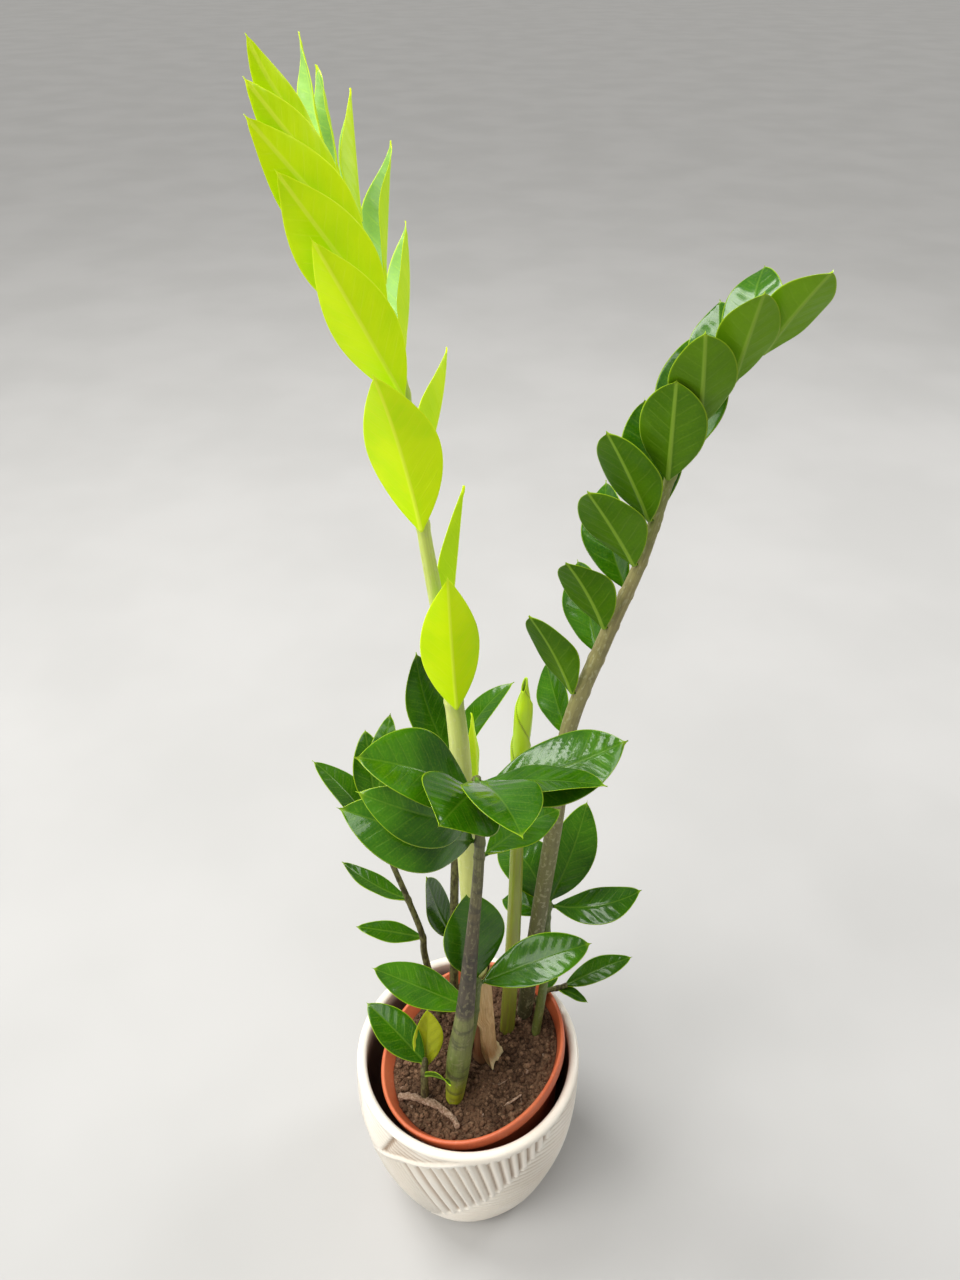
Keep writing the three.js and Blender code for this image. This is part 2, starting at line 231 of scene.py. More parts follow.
# %% Skin
class Skin:
    """Closed shells gathered into one mesh, in millimetres."""

    def __init__(self):
        self.points, self.faces, self.layers, self.count = [], [], {}, 0

    def add(self, points, faces, layers):
        """A shell from points, faces that number them from 0, and values for each point."""
        for name in set(layers) | set(self.layers):
            kept = self.layers.setdefault(name, [np.zeros(self.count)])
            kept.append(np.broadcast_to(layers.get(name, 0), len(points)).astype(float))
        self.points.append(np.asarray(points, float))
        self.faces += [[self.count + int(k) for k in face] for face in faces]
        self.count += len(points)

    def loft(self, rings, **layers):
        """A shell through rings of points, each end closed round its middle."""
        rings = np.asarray(rings, float)
        rows, around = rings.shape[:2]
        at = np.arange(rows * around).reshape(rows, around)
        beside = np.roll(at, -1, 1)
        faces = np.stack([at[:-1], beside[:-1], beside[1:], at[1:]], -1).reshape(-1, 4).tolist()
        faces += [[b, a, rows * around] for a, b in zip(at[0], beside[0])]
        faces += [[a, b, rows * around + 1] for a, b in zip(at[-1], beside[-1])]
        points = np.vstack([rings.reshape(-1, 3), rings[0].mean(0), rings[-1].mean(0)])
        values = {}
        for name, value in layers.items():
            value = np.broadcast_to(value, (rows, around))
            values[name] = np.append(value.reshape(-1), [value[0].mean(), value[-1].mean()])
        self.add(points, faces, values)

    def build(self, name, material, slot, *nodes):
        """Makes the object, which stands for those nodes of the frame."""
        mesh = bpy.data.meshes.new(name)
        mesh.from_pydata((np.vstack(self.points) * MM).tolist(), [], self.faces)
        for layer, values in self.layers.items():
            mesh.attributes.new(layer, "FLOAT", "POINT").data.foreach_set(
                "value", np.concatenate(values).astype(np.float32))
        shell = bmesh.new()
        shell.from_mesh(mesh)
        bmesh.ops.recalc_face_normals(shell, faces=shell.faces)
        for face in shell.faces:
            face.smooth = True
        shell.to_mesh(mesh)
        shell.free()
        mesh.materials.append(material)
        piece = bpy.data.objects.new(name, mesh)
        scene.collection.objects.link(piece)
        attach(piece, "root")
        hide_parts(*(nodes or [name]))
        return piece


def smooth(value, low, high):
    """0 below low, 1 above high, and smooth between, on arrays."""
    share = np.clip((np.asarray(value, float) - low) / (high - low), 0, 1)
    return share * share * (3 - 2 * share)


def unit(vector):
    vector = np.asarray(vector, float)
    return vector / np.linalg.norm(vector)


TURN = 2 * np.pi
print("skins ready")

# %% [markdown]
# ## Stalks
# A stalk of this plant is a fleshy, gently bent rod, thick at the foot, with a slight ring where each
# leaflet joins. A curve object with a bevel could make it, but then the rings and the taper are hard to
# place. So the line is a smooth spline through points that hold a position and a radius, and the skin
# goes through round rings square to it.

# %% The stalks' points: x, y, height and radius
STALKS = {
    "lime": [
        [11, -3, 104, 6.2], [7, -3, 200, 5.8], [2, -2, 293, 5.4], [-2, -1, 390, 4.8],
        [-8, 0, 450, 3.6], [-15, 1, 505, 2.8], [-20, 2, 562, 2.2], [-28, 3, 603, 1.8],
        [-38, 3, 630, 1.4], [-45, 4, 645, 1]],
    "right": [
        [36, 24, 106, 5], [41.5, 21, 220, 4.8], [47.5, 16, 319, 4.5], [51, 15, 385, 4.1],
        [64, 13, 441, 3.6], [76, 11, 485, 2.7], [84, 9, 529, 2.1], [92, 8, 550, 1.8],
        [102, 6, 569, 1.4], [110, 5, 579, 1]],
    "front": [
        [-9, -28, 104, 4.8], [-5, -28, 160, 7.2], [-1, -28, 208, 5.4], [4, -28, 285, 3.4],
        [7, -28, 332, 2.7], [8, -28, 374, 2.3], [6, -27, 395, 1.6]],
    "spear": [
        [25, 13, 106, 5], [27, 17, 180, 4.6], [28, 20, 250, 4], [28, 20, 340, 3.4],
        [28, 20, 362, 4.4], [29, 20, 390, 4.2], [29, 20, 416, 2.2]],
    "middle": [[-5, -14, 106, 2.6], [4, -17, 180, 2], [7, -19, 228, 1.6]],
    "left": [
        [-18, 30, 106, 2.6], [-27, 31, 176, 2.2], [-28, 31, 199, 2], [-35, 31, 233, 1.8],
        [-42, 31, 263, 1.6], [-48, 32, 290, 1.4], [-50, 33, 312, 1]],
    "back": [[-10, 36, 106, 3], [-8, 37, 226, 2.6], [-5, 38, 312, 2], [-4, 38, 350, 1.4]],
    "low_left": [[-27, -26, 104, 2.6], [-26, -27, 142, 2.2], [-25, -27, 160, 1.4]],
    "low_right": [[42, 6, 108, 3], [48.5, 20, 180, 2.6], [48, 27, 220, 2.2], [49, 27, 236, 1.6]],
    "edge": [
        [42, 30, 110, 1.8], [46, 31, 130, 1.7], [51, 30, 141, 1.6], [58, 29, 146, 1.5],
        [65, 29, 150, 1.2]],
}


def spline(points, steps=24):
    """A smooth line through every point, as many short steps between two of them."""
    known = np.array(points, float)
    known = np.vstack([2 * known[0] - known[1], known, 2 * known[-1] - known[-2]])
    share = np.arange(steps)[:, None] / steps
    parts = []
    for a, b, c, d in zip(known, known[1:], known[2:], known[3:]):
        parts.append(.5 * (
            2 * b + (c - a) * share + (2 * a - 5 * b + 4 * c - d) * share ** 2
            + (3 * b - a - 3 * c + d) * share ** 3))
    return np.vstack(parts + [known[-2:-1]])


LINES = {name: spline(points) for name, points in STALKS.items()}


def at_height(name, height):
    """Position and radius of a stalk at a height, and the way it runs there."""
    line = LINES[name]
    here, below, above = (
        np.array([np.interp(height + step, line[:, 2], line[:, k]) for k in range(4)])
        for step in (0, -1, 1))
    return here, unit(above[:3] - below[:3])


print({name: round(float(line[-1, 2])) for name, line in LINES.items()}, "mm high")


# %% Rods
ROD_STEP, ROUND_END = 1.6, 1.4      # length of a step and of the rounded end of a rod, in mm


def rod_frame(lines):
    """Two directions square to a line at each of its points."""
    run = np.gradient(lines[:, :3], axis=0)
    run /= np.linalg.norm(run, axis=1)[:, None]
    first = np.array([1, .2, 0]) - run * (run @ [1, .2, 0])[:, None]
    first /= np.linalg.norm(first, axis=1)[:, None]
    return first, np.cross(run, first)


def reach_along(lines):
    """Distance along a line from its start, at each of its points."""
    return np.append(0, np.cumsum(np.linalg.norm(np.diff(lines[:, :3], axis=0), axis=1)))


def rod(skin, lines, swell=None, around=28, round_end=True, **layers):
    """A round rod along points with a radius; swell(turn, reach) adds to the radius."""
    reach = reach_along(lines)
    even = np.linspace(0, reach[-1], max(12, int(reach[-1] / ROD_STEP)))
    if round_end:
        even = np.append(
            even[even < reach[-1] - ROUND_END],
            reach[-1] - ROUND_END * (1 - np.linspace(0, .99, 7)) ** 2)
    lines = np.stack([np.interp(even, reach, lines[:, k]) for k in range(4)], -1)
    first, second = rod_frame(lines)
    radius = lines[:, 3].copy()
    if round_end:
        past = np.clip((even - reach[-1] + ROUND_END) / ROUND_END, 0, 1)
        radius *= np.sqrt(np.clip(1 - past ** 2, .004, 1))
    turn = np.arange(around) / around * TURN
    radius = np.repeat(radius[:, None], around, 1)
    if swell is not None:
        radius = radius + swell(turn[None], even[:, None])
    rings = (
        lines[:, None, :3] + first[:, None] * (radius * np.cos(turn))[..., None]
        + second[:, None] * (radius * np.sin(turn))[..., None])
    skin.loft(rings, reach=lines[:, 2:3], turn=turn[None], **layers)


def stalk(skin, name, joins, **layers):
    """A stalk with a low ring and a small shoulder at the height of each leaflet."""
    lines = LINES[name]
    reach = reach_along(lines)
    joins = np.interp(joins, lines[:, 2], reach)

    def swell(turn, along):
        bump = .10 * np.sin(3 * turn + along * .02) + .05 * np.sin(7 * turn + 1.7 - along * .03)
        for join in joins:
            bump = bump + .38 * np.exp(-((along - join) / 1.8) ** 2) - .12 * np.exp(
                -((along - join - 3.4) / .9) ** 2)
        return bump

    rod(skin, lines, swell, **layers)


print("rods ready")

# %% [markdown]
# ## Leaflets
# A leaflet is a thick waxy blade that is slightly folded along its midrib, with a wavy margin and a
# short pointed tip. Its midrib stands out underneath, and the pinnate veins make low ripples that break
# up the gloss. Subdivided planes with a solidify modifier would give it square edges; rings across the
# blade give it a rounded margin, a short fleshy foot and as much detail as it needs.
#
# A row holds the height where it joins, the turn and lift of the blade in degrees, its length and width
# in millimetres, its roll, the height of its arch and its fold.

# %% The leaflets of each shoot
LEAFLETS = {
    "lime": [
        [359, 100, 66, 40, 13, 125, -1, 20], [417, 256, 83, 78, 30, -25, 2, 28],
        [462, 78, 60, 56, 22, 85, 0, 48], [508, 240, 71, 77, 33, -30, 6, 30],
        [533, 78, 38, 52, 24, 80, -2, 46], [563, 226, 61, 71, 28, -57, 1, 35],
        [577, 90, 42, 53, 23, 62, -2, 50], [591, 219, 55, 64, 27, -80, 2, 20],
        [601, 86, 52, 50, 22, 52, 0, 50], [613, 217, 50, 58, 23, -88, 1, 16],
        [621, 97, 48, 47, 19, 84, 0, 48], [629, 221, 51, 48, 18, -88, 1, 18],
        [634, 106, 46, 41, 16, 62, -1, 46], [640, 224, 57, 43, 13, -85, 4, 22],
        [643, 108, 50, 39, 12, 72, 0, 36]],
    "right": [
        [376, 106, 30, 41, 21, 60, 1, 12], [410, 168, 62, 47, 26, -62, 2, 6],
        [430, 104, 40, 46, 26, 55, 0, 8], [450, 195, 62, 43, 26, -47, 2, 9],
        [467, 107, 51, 49, 27, 62, 5, 14], [484, 195, 58, 45, 29, -48, 1, 7],
        [502, 102, 65, 50, 27, 6, 5, 16], [506, 193, 62, 47, 27, -40, 1, 7],
        [526, 251, 74, 48, 26, 0, 0, 11], [530, 74, 60, 51, 30, 13, -5, 4],
        [549, 249, 66, 46, 25, -20, -2, 11], [558, 84, 40, 42, 24, 36, 0, 11],
        [567, 269, 61, 45, 22, 0, 0, 13], [573, 74, 37, 42, 24, 28, 4, 11],
        [578, 294, 54, 44, 22, 20, 1, 11]],
    "front": [
        [342, 38, -1, 48, 24, 8, 3, 4], [352, 191, 30, 71, 35, 55, 17, 12],
        [368, 198, 33, 63, 30, 65, 14, 22], [384, 195, 36, 63, 38, 20, 6, 7],
        [386, 5, 22, 68, 36, -14, -4, 1], [389, 252, 28, 52, 41, 27, 4, 4],
        [392, 347, 11, 56, 25, 16, 2, 7], [394, 290, 20, 56, 35, 12, 5, 11]],
    "middle": [
        [196, 167, 19, 62, 26, 3, 0, 4], [224, 9, 20, 65, 27, -20, 4, 7],
        [226, 115, 80, 64, 36, 3, 3, 6]],
    "left": [
        [197, 177, 11, 41, 14, 11, 1, 8], [234, 162, 25, 45, 15, -7, -3, 7],
        [286, 149, 41, 60, 22, -8, 4, 10], [306, 103, 55, 48, 20, 1, 3, 7],
        [307, 76, 54, 56, 18, -2, 3, 8]],
    "back": [
        [190, 176, 76, 58, 24, 20, -2, 5], [330, 40, 49, 60, 23, 19, 9, 10],
        [336, 130, 61, 68, 27, -8, -7, 0]],
    "low_left": [
        [143, 312, 42, 34, 11, 60, 2, 8], [148, 86, 44, 34, 20, -27, 2, 8],
        [155, 143, 24, 49, 23, 12, 4, 7]],
    "low_right": [
        [222, 150, -10, 29, 17, 18, 4, 9], [231, 130, 17, 46, 34, 5, 18, 9],
        [233, 357, 20, 53, 25, -7, -8, 2], [235, 59, 46, 63, 29, -30, 8, 9]],
    "edge": [
        [140, 82, -12, 24, 14, -12, 3, 7], [146, 336, -8, 21, 8, 0, 2, 8],
        [149, 14, 19, 47, 16, -9, 3, 8]],
}
print(sum(map(len, LEAFLETS.values())), "leaflets")

# %% One leaflet
YOUNG, GROWN, ROUND = (.42, .9), (.5, .7), (.55, .62)   # where a blade is widest, and how blunt it is
HANG, GAP, STUB = .8, .4, 2.2           # how a blade hangs off its stalk; gap and stub in mm
VEIN_GAP, VEIN_SLANT = 6.4, .85         # mm between side veins, and how they slant
OVAL_END, LAST_ROW = .975, .9985        # where a blade's oval and its last ring are, along it
HALF = np.array([0, .03, .065, .11, .17, .25, .34, .44, .55, .66, .76, .85, .92, .97, 1])
ACROSS = np.append(-HALF[:0:-1], HALF)
ROWS = 46


def lower_of(a, b, sharpness=5):
    """The smaller of two positive values, with a smooth change between them."""
    a, b = np.maximum(a, 1e-6), np.maximum(b, 1e-6)
    return a * b / (a ** sharpness + b ** sharpness) ** (1 / sharpness)


def blade_axes(turn, lift, roll):
    """Ahead, side and up of a blade from its angles in degrees."""
    turn, lift, roll = np.radians([turn, lift, roll])
    ahead = np.array([np.cos(lift) * np.cos(turn), np.cos(lift) * np.sin(turn), np.sin(lift)])
    level = unit(np.cross(ahead, [0, 0, 1]))
    above = np.cross(level, ahead)
    side = level * np.cos(roll) + above * np.sin(roll)
    return ahead, side, above * np.cos(roll) - level * np.sin(roll)


def leaflet(skin, name, row, shape, wave=.5, point=42, tone=0, reach=0, seed=0, thick=1.0,
            crease=.12, nib=1.1, cup=.05, rib_height=1, ripe=0):
    """One blade on its stalk. Wave, crease and nib are in mm, point is the half angle of its tip."""
    height, turn, lift, length, width, roll, arch, fold = row
    draw = np.random.RandomState(SEED + seed)
    here, run = at_height(name, height)
    ahead, side, up = blade_axes(turn, lift, roll)
    away = ahead - HANG * up
    out = unit(away - run * (away @ run))
    base = here[:3] + out * (here[3] + GAP + STUB / 2 - reach)
    along = np.linspace(0, 1, ROWS)
    along = .7 * along + .3 * (1 - np.cos(np.pi * along)) / 2
    along[-1] = LAST_ROW
    widest, blunt = shape
    oval = np.clip(along / OVAL_END, 0, 1)
    half = width / 2 * np.sin(np.pi * oval ** (np.log(.5) / np.log(widest))) ** blunt
    half = lower_of(half, np.maximum(1 - oval, 0) * length * np.tan(np.radians(point)), 4)
    half = np.hypot(half, nib * np.clip((1 - along) * length / 5, 0, 1) ** 1.3 * smooth(along, .8, .95))
    half = np.sqrt(
        lower_of(half, along * length * 1.3 + .05) ** 2 + (1.15 * (1 - smooth(along, 0, .2))) ** 2)
    y = half[:, None] * ACROSS
    far = np.abs(y)
    lean = np.radians(fold)
    rise = (np.sqrt(far ** 2 + 4) - 2) * np.sin(lean)
    phase = draw.uniform(0, TURN, 6)
    edge = ACROSS[None] ** 2 * smooth(along, .04, .3)[:, None]
    sway = np.sin(TURN * along * 1.5 + phase[0])[:, None] * (ACROSS > 0) + (
        np.sin(TURN * along * 1.8 + phase[1])[:, None] * (ACROSS <= 0))
    twist = np.sin(TURN * along * .6 + phase[2])[:, None] * ACROSS
    ripple = np.cos(TURN * (along[:, None] * length - VEIN_SLANT * far + phase[3]) / VEIN_GAP)
    inner = smooth(np.abs(ACROSS), .05, .3) * (1 - smooth(np.abs(ACROSS), .75, 1))
    rise = rise + wave * edge * sway + .35 * wave * twist * smooth(along, .1, .5)[:, None]
    rise = rise + crease * ripple * inner * smooth(along, .05, .25)[:, None]
    rise = rise - cup * half[:, None] * (1 - np.cos(np.pi * np.abs(ACROSS)))[None] * np.sin(phase[4])
    body = thick * (.34 + .5 * (1 - along)) + 1.2 * (1 - smooth(along, 0, .16))
    round_off = 2 + 6 * smooth(along, 0, .15)
    depth = body[:, None] / 2 * np.sqrt(np.clip(1 - np.abs(ACROSS)[None] ** round_off[:, None], 0, 1))
    rib = np.exp(-(y / .95) ** 2) * smooth(along, 0, .1)[:, None]
    ridge, groove = rib_height * (.55 * (1 - along[:, None]) + .08), .34 * (1 - along[:, None]) + .04
    middle = base + np.outer(along * length, ahead) + np.outer(arch * 4 * along * (1 - along), up)

    def sheet(level):
        return middle[:, None] + y[..., None] * side * np.cos(lean) + level[..., None] * up

    top = sheet(rise + depth - rib * groove)
    under = sheet(rise - depth - rib * ridge)
    rings = np.concatenate([top, under[:, -2:0:-1]], 1)
    back = slice(-2, 0, -1)

    def ring(values):
        values = np.broadcast_to(values, y.shape)
        return np.concatenate([values, values[:, back]], 1)

    low = np.concatenate([np.full(len(ACROSS), 0.0), np.full(len(ACROSS) - 2, 1.0)])
    low[[0, len(ACROSS) - 1]] = .5
    start = here[:3] + out * max(here[3] - 1.2, 0)
    foot = []
    for share in (0, .4, .75):
        centre = start + (base - start) * share
        across_foot = unit(side - out * (side @ out) * (1 - share))
        foot.append(rings[0] - base + centre - np.outer((rings[0] - base) @ side, side - across_foot))
    count = rings.shape[1]
    feet = np.ones((len(foot), count))
    layers = dict(
        along=ring(along[:, None]), across=ring(y), run=ring(along[:, None] * length),
        margin=ring(half[:, None] - far), under=np.broadcast_to(low, (ROWS, count)))
    before = dict(along=0, across=layers["across"][0], run=0, margin=3, under=.5)
    skin.loft(
        np.concatenate([foot, rings]), tone=tone, ripe=ripe, seed=draw.uniform(),
        **{key: np.concatenate([feet * before[key], value]) for key, value in layers.items()})


print(ROWS, "rows of", 2 * len(ACROSS) - 2, "points in a blade")

# %% [markdown]
# ## The finish of a leaf
# Both ages of leaf have the same build: a waxy upper side, a paler dull underside, a pale midrib, faint
# pinnate veins and a thin yellow-green margin. So one function paints both from a few colours. It reads
# the blade's own measures, and small noises on them mottle the green. The wax is a coat that is strong
# on the upper side and nearly gone underneath. A young blade is thin enough for daylight to come
# through, and a little emission in the leaf's own colour stands for that.


# %% Leaf finish
def leaf_finish(name, upper, lower, light, dim, rib, margin, wax, dull, coat, **constants):
    """Upper and lower are (deep, pale) colours; light and dim are for tone 1 and -1."""
    paint = Paint(name, **constants)
    run, across, along = (paint.layer(key) for key in ("run", "across", "along"))
    under = paint.layer("under").step(.4, .6)
    far = abs(across)
    spot = paint.vector(run, across, paint.layer("seed") * 90)
    cloud = paint.noise(spot, .045, 3)
    grain = paint.noise(spot, 1.1, 2)
    streak = paint.noise(paint.stretch(spot, (.25, 1, 1)), .3, 3)
    wander = paint.noise(spot, .07, 1) * 3
    side_vein = ((run - far * VEIN_SLANT + wander) / VEIN_GAP).fold(.5)
    open_blade = paint.layer("margin").step(.6, 3.5) * far.step(.4, 1.6)
    vein = (1 - side_vein.step(.012, .085)) * open_blade
    fine_vein = (1 - ((run - far * .6 + wander * 1.4) / 1.9).fold(.5).step(.05, .3)) * open_blade
    midrib = 1 - (far + along * .35 - under * .3).step(.35, .95)
    rim = 1 - (paint.layer("margin") + cloud * .3).step(.28, .75)
    tip = along.step(.93, 1)

    top = paint.mix(cloud.step(.32, .68), upper[0], upper[1])
    bottom = paint.mix(cloud.step(.3, .7), lower[0], lower[1])
    colour = paint.mix(under, top, bottom)
    tone = paint.layer("tone")
    colour = paint.mix((tone * .75).highest(0), colour, light)
    colour = paint.mix((tone * -.8).highest(0), colour, dim)
    colour = paint.mix(paint.layer("ripe") * cloud.step(.1, .4), colour, (.42, .43, .016))
    colour = paint.mix(vein * (.10 + under * .05) + fine_vein * .03, colour, rib)
    colour = paint.mix(midrib * (.16 + under * .66), colour, rib)
    colour = paint.mix((grain - .5).highest(0) * .35, colour, margin)
    colour = paint.mix((rim * .8).highest(tip * .7), colour, margin)
    bark = paint.layer("bark")
    spots = paint.noise(paint.stretch(paint.place(), (1, 1, .4)), .5, 3)
    old_skin = paint.mix(spots.step(.4, .62), (.17, .165, .065), (.07, .062, .03))
    colour = paint.mix(bark, colour, old_skin)
    roughness = wax + under * (dull - wax) + (streak - .5) * .16 + grain * .04
    ridges = (vein * .35 + fine_vein * .12) * (under * 2 - 1) + streak * .5 + grain * .16
    shine = (1 - under * .85) * coat * (1 - (tone * -1.3).highest(0))    # less of it on dark leaves
    paint.put(paint.shader.inputs["Coat Weight"], shine)
    if "Emission_Strength" in constants:
        paint.put(paint.shader.inputs["Emission Color"], colour)
    return paint.finish(colour, roughness, ridges, .00022, .5)


mature_leaf = leaf_finish(
    "mature_leaf",
    upper=((.022, .105, .001), (.050, .185, .002)), lower=((.050, .150, .0005), (.084, .210, .001)),
    light=(.24, .47, .003), dim=(.012, .045, .002), rib=(.27, .44, .04), margin=(.36, .54, .015),
    wax=.2, dull=.5, coat=.5, Coat_Roughness=.11, Specular_IOR_Level=.12)
young_leaf = leaf_finish(
    "young_leaf",
    upper=((.22, .43, .09), (.31, .56, .12)), lower=((.54, .84, .001), (.70, .96, .003)),
    light=(.74, .95, .004), dim=(.24, .42, .10), rib=(.78, .98, .05), margin=(.74, .95, .01),
    wax=.3, dull=.42, coat=.3, Coat_Roughness=.15, Specular_IOR_Level=.08,
    Emission_Strength=.17)
print(mature_leaf.name, young_leaf.name)

# %% [markdown]
# ## The finish of a stalk
# A stalk's colour changes with height, so a ramp on the height layer holds it. On that lie streaks
# along the stalk and the short dashes and bands of old skin, which are noises stretched along or round
# it.


# %% Stalk finish
RAMP_TOP = 700      # the height at the end of a stalk's colour ramp, in mm


def stalk_finish(name, stops, dash, dashes, bands=0.0, dark=(.05, .035, .02), shine=.34, **constants):
    """Stops are (height in mm, colour); dashes and bands say how much of each mark there is."""
    paint = Paint(name, **constants)
    reach, turn = paint.layer("reach"), paint.layer("turn")
    ramp = paint.node("ShaderNodeValToRGB", None, {0: reach / RAMP_TOP}, "Color")
    table = ramp.socket.node.color_ramp
    while len(table.elements) < len(stops):
        table.elements.new(.5)
    for element, (height, colour) in zip(table.elements, stops):
        element.position, element.color = height / RAMP_TOP, (*colour, 1)
    wrap = paint.wrap(turn, 3.2, reach)
    streak = paint.noise(paint.stretch(wrap, (1, 1, .05)), .9, 3)
    mark = paint.noise(paint.stretch(wrap, (1, 1, .42)), .75, 2)
    band = paint.noise(paint.stretch(wrap, (.35, .35, 1)), .12, 3)
    grain = paint.noise(wrap, 2.4, 2)
    colour = paint.mix(streak.step(.3, .75) * .45, ramp, dark)
    colour = paint.mix(band.step(.52, .62) * bands, colour, dark)
    colour = paint.mix(mark.step(.56, .64) * dashes, colour, dash)
    colour = paint.mix((grain - .5).highest(0) * .5, colour, dash)
    ridges = streak * .7 + mark.step(.55, .66) * .5 * dashes + grain * .25
    return paint.finish(colour, shine + streak * .2 + grain * .08, ridges, .0003, .55)


young_stalk = stalk_finish(
    "young_stalk",
    [(105, (.50, .47, .17)), (215, (.68, .69, .21)), (330, (.74, .79, .22)), (450, (.72, .82, .18)),
     (600, (.64, .85, .06))],
    (.80, .84, .42), .22, .05, (.52, .57, .12), .3, Coat_Weight=.15, Coat_Roughness=.2)
mature_stalk = stalk_finish(
    "mature_stalk",
    [(110, (.050, .055, .018)), (200, (.12, .125, .040)), (330, (.27, .26, .095)),
     (470, (.36, .31, .12)), (540, (.26, .33, .06))],
    (.52, .50, .30), .4, .22, (.12, .10, .045), .5)
front_stalk_skin = stalk_finish(
    "front_stalk_skin",
    [(112, (.46, .52, .006)), (130, (.34, .41, .010)), (150, (.15, .21, .028)),
     (188, (.18, .20, .05)), (208, (.20, .22, .06)), (212, (.080, .064, .040)),
     (262, (.070, .052, .034)), (300, (.13, .105, .045)), (360, (.17, .19, .05))],
    (.30, .28, .13), .35, .6, (.022, .020, .012), .42)
small_stalk_skin = stalk_finish(
    "small_stalk_skin",
    [(110, (.16, .20, .035)), (220, (.13, .19, .035)), (330, (.16, .26, .04))],
    (.32, .34, .16), .35, .2, (.05, .06, .02), .4)
print(len([m for m in bpy.data.materials if "stalk" in m.name]), "stalk finishes")

# %% [markdown]
# ## The three tall shoots
# The young shoot's blades are thin, wavy and sharply pointed. Those of the mature shoots are thicker
# and flatter. Each of these blades is a piece of its own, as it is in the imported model.


# %% Separate leaflets and their stalks
def leaf_tone(shoot, number, row):
    """How yellow (up to 1) or dark (down to -1) a leaflet is."""
    if shoot == "right":
        return -.2 if row[1] < 130 else .7 * float(smooth(row[0], 520, 585)) + .05
    if shoot == "front":
        return -.05
    if shoot == "low_right":
        return -.4
    if shoot == "lime":
        return -.15 if number % 2 else .15
    return -.15


def shape_of(shoot, row):
    if shoot == "lime":
        return YOUNG
    if shoot == "right":
        return GROWN if row[0] > 555 else ROUND
    if shoot == "front":
        return GROWN if row[4] < 25 else ROUND
    return ROUND if shoot == "middle" else GROWN


BLADES = {
    "lime": dict(wave=.5, point=40, thick=.7, nib=1.0, cup=.01, rib_height=.5),
    "right": dict(wave=.6, point=66, crease=.09, nib=1.3),
    "front": dict(wave=.8, point=57, thick=1.15, crease=.17),
    "middle": dict(wave=.6, point=60, thick=1.1),
    "low_right": dict(wave=.6, point=56, crease=.17)}
seed = 0
for shoot, options in BLADES.items():
    for number, row in enumerate(LEAFLETS[shoot], 1):
        seed += 1
        blade = Skin()
        leaflet(blade, shoot, row, shape_of(shoot, row), tone=leaf_tone(shoot, number, row),
                seed=seed, **options)
        # The slot is spelled out, since Blender adds a number to a material's name if it is taken;
        # build takes it but does not use it.
        leaf, slot = (young_leaf, "young_leaf") if shoot == "lime" else (mature_leaf, "mature_leaf")
        blade.build(f"{shoot}_leaflet_{number:02d}", leaf, slot)
print(seed, "separate leaflets")

STALK_LOOKS = {
    "lime": (young_stalk, "young_stalk"), "right": (mature_stalk, "mature_stalk"),
    "front": (front_stalk_skin, "green_stalk"), "middle": (small_stalk_skin, "green_stalk"),
    "low_right": (small_stalk_skin, "green_stalk")}
for shoot, (skin_finish, slot) in STALK_LOOKS.items():
    rod_skin = Skin()
    stalk(rod_skin, shoot, [row[0] for row in LEAFLETS[shoot]])
    rod_skin.build(f"{shoot}_stalk", skin_finish, slot)
print(len(STALK_LOOKS), "stalks")

# %% [markdown]
# ## The small shoots
# Round the crown stand old short shoots with a few dark blades each. A whole small shoot is one piece,
# so its blades and its stalk share a mesh, and the leaf finish serves both: a layer tells stalk from
# blade.

# %% Whole small shoots
REACH = 2.6          # how far these blades' feet go into their thin stalk, in mm
YELLOW_BLADE = 2     # the blade of the low left shoot that has turned yellow-green
TONES = {"left": -.55, "back": -.35, "low_left": -.5, "edge": -.6}
for shoot, dark in TONES.items():
    tuft = Skin()
    stalk(tuft, shoot, [row[0] for row in LEAFLETS[shoot]],
          margin=9, across=5, along=.3, under=1, bark=1, seed=.3)
    for number, row in enumerate(LEAFLETS[shoot], 1):
        seed += 1
        fresh = shoot == "low_left" and number == YELLOW_BLADE
        leaflet(tuft, shoot, row, GROWN, wave=.5, point=56, reach=REACH, seed=seed,
                tone=.6 if fresh else dark, ripe=.9 if fresh else 0)
    tuft.build(f"{shoot}_shoot", mature_leaf, "mature_leaf")
print(len(TONES), "small shoots")

# %% [markdown]
# ## The rolled spear
# A new shoot starts as a spear: a rolled leaf whose free edge winds round it. A screw modifier makes a
# full spiral, but the real one is tight and only its seam shows. So the rings swell slowly round the
# spear and drop back at the seam, which turns with height. At the tip the roll opens in a small mouth.

# %% Spear
SPEAR_FOOT, SPEAR_TOP = 106, 413
MOUTH = ((.12, -.12), (.32, 0), (.5, .8), (.62, 2.5), (.7, 5), (.78, 8))   # share inward, mm down
spear_line = LINES["spear"]
spear_rows = np.concatenate([
    np.linspace(SPEAR_FOOT, 300, 90, endpoint=False), np.linspace(300, SPEAR_TOP, 110)])
spear_points = np.stack([
    np.interp(spear_rows, spear_line[:, 2], spear_line[:, k]) for k in range(4)], -1)
spear_first, spear_second = rod_frame(spear_points)
SPEAR_SIDES = 72
spear_turn = np.arange(SPEAR_SIDES) / SPEAR_SIDES * TURN
seam_turn = np.radians(-180 + 6.2 * (398 - spear_rows))[:, None]
saw = np.mod(spear_turn[None] - seam_turn, TURN / 2) / (TURN / 2)
rolled = smooth(spear_rows, 306, 332)[:, None]
swelling = rolled * (.24 * saw * (1 - smooth(saw, .93, 1)) - .06)
fullness = 1 + swelling + .012 * np.sin(5 * spear_turn)[None]
spear_radius = spear_points[:, 3:4] * fullness * (1 - .4 * smooth(spear_rows, 396, SPEAR_TOP))[:, None]
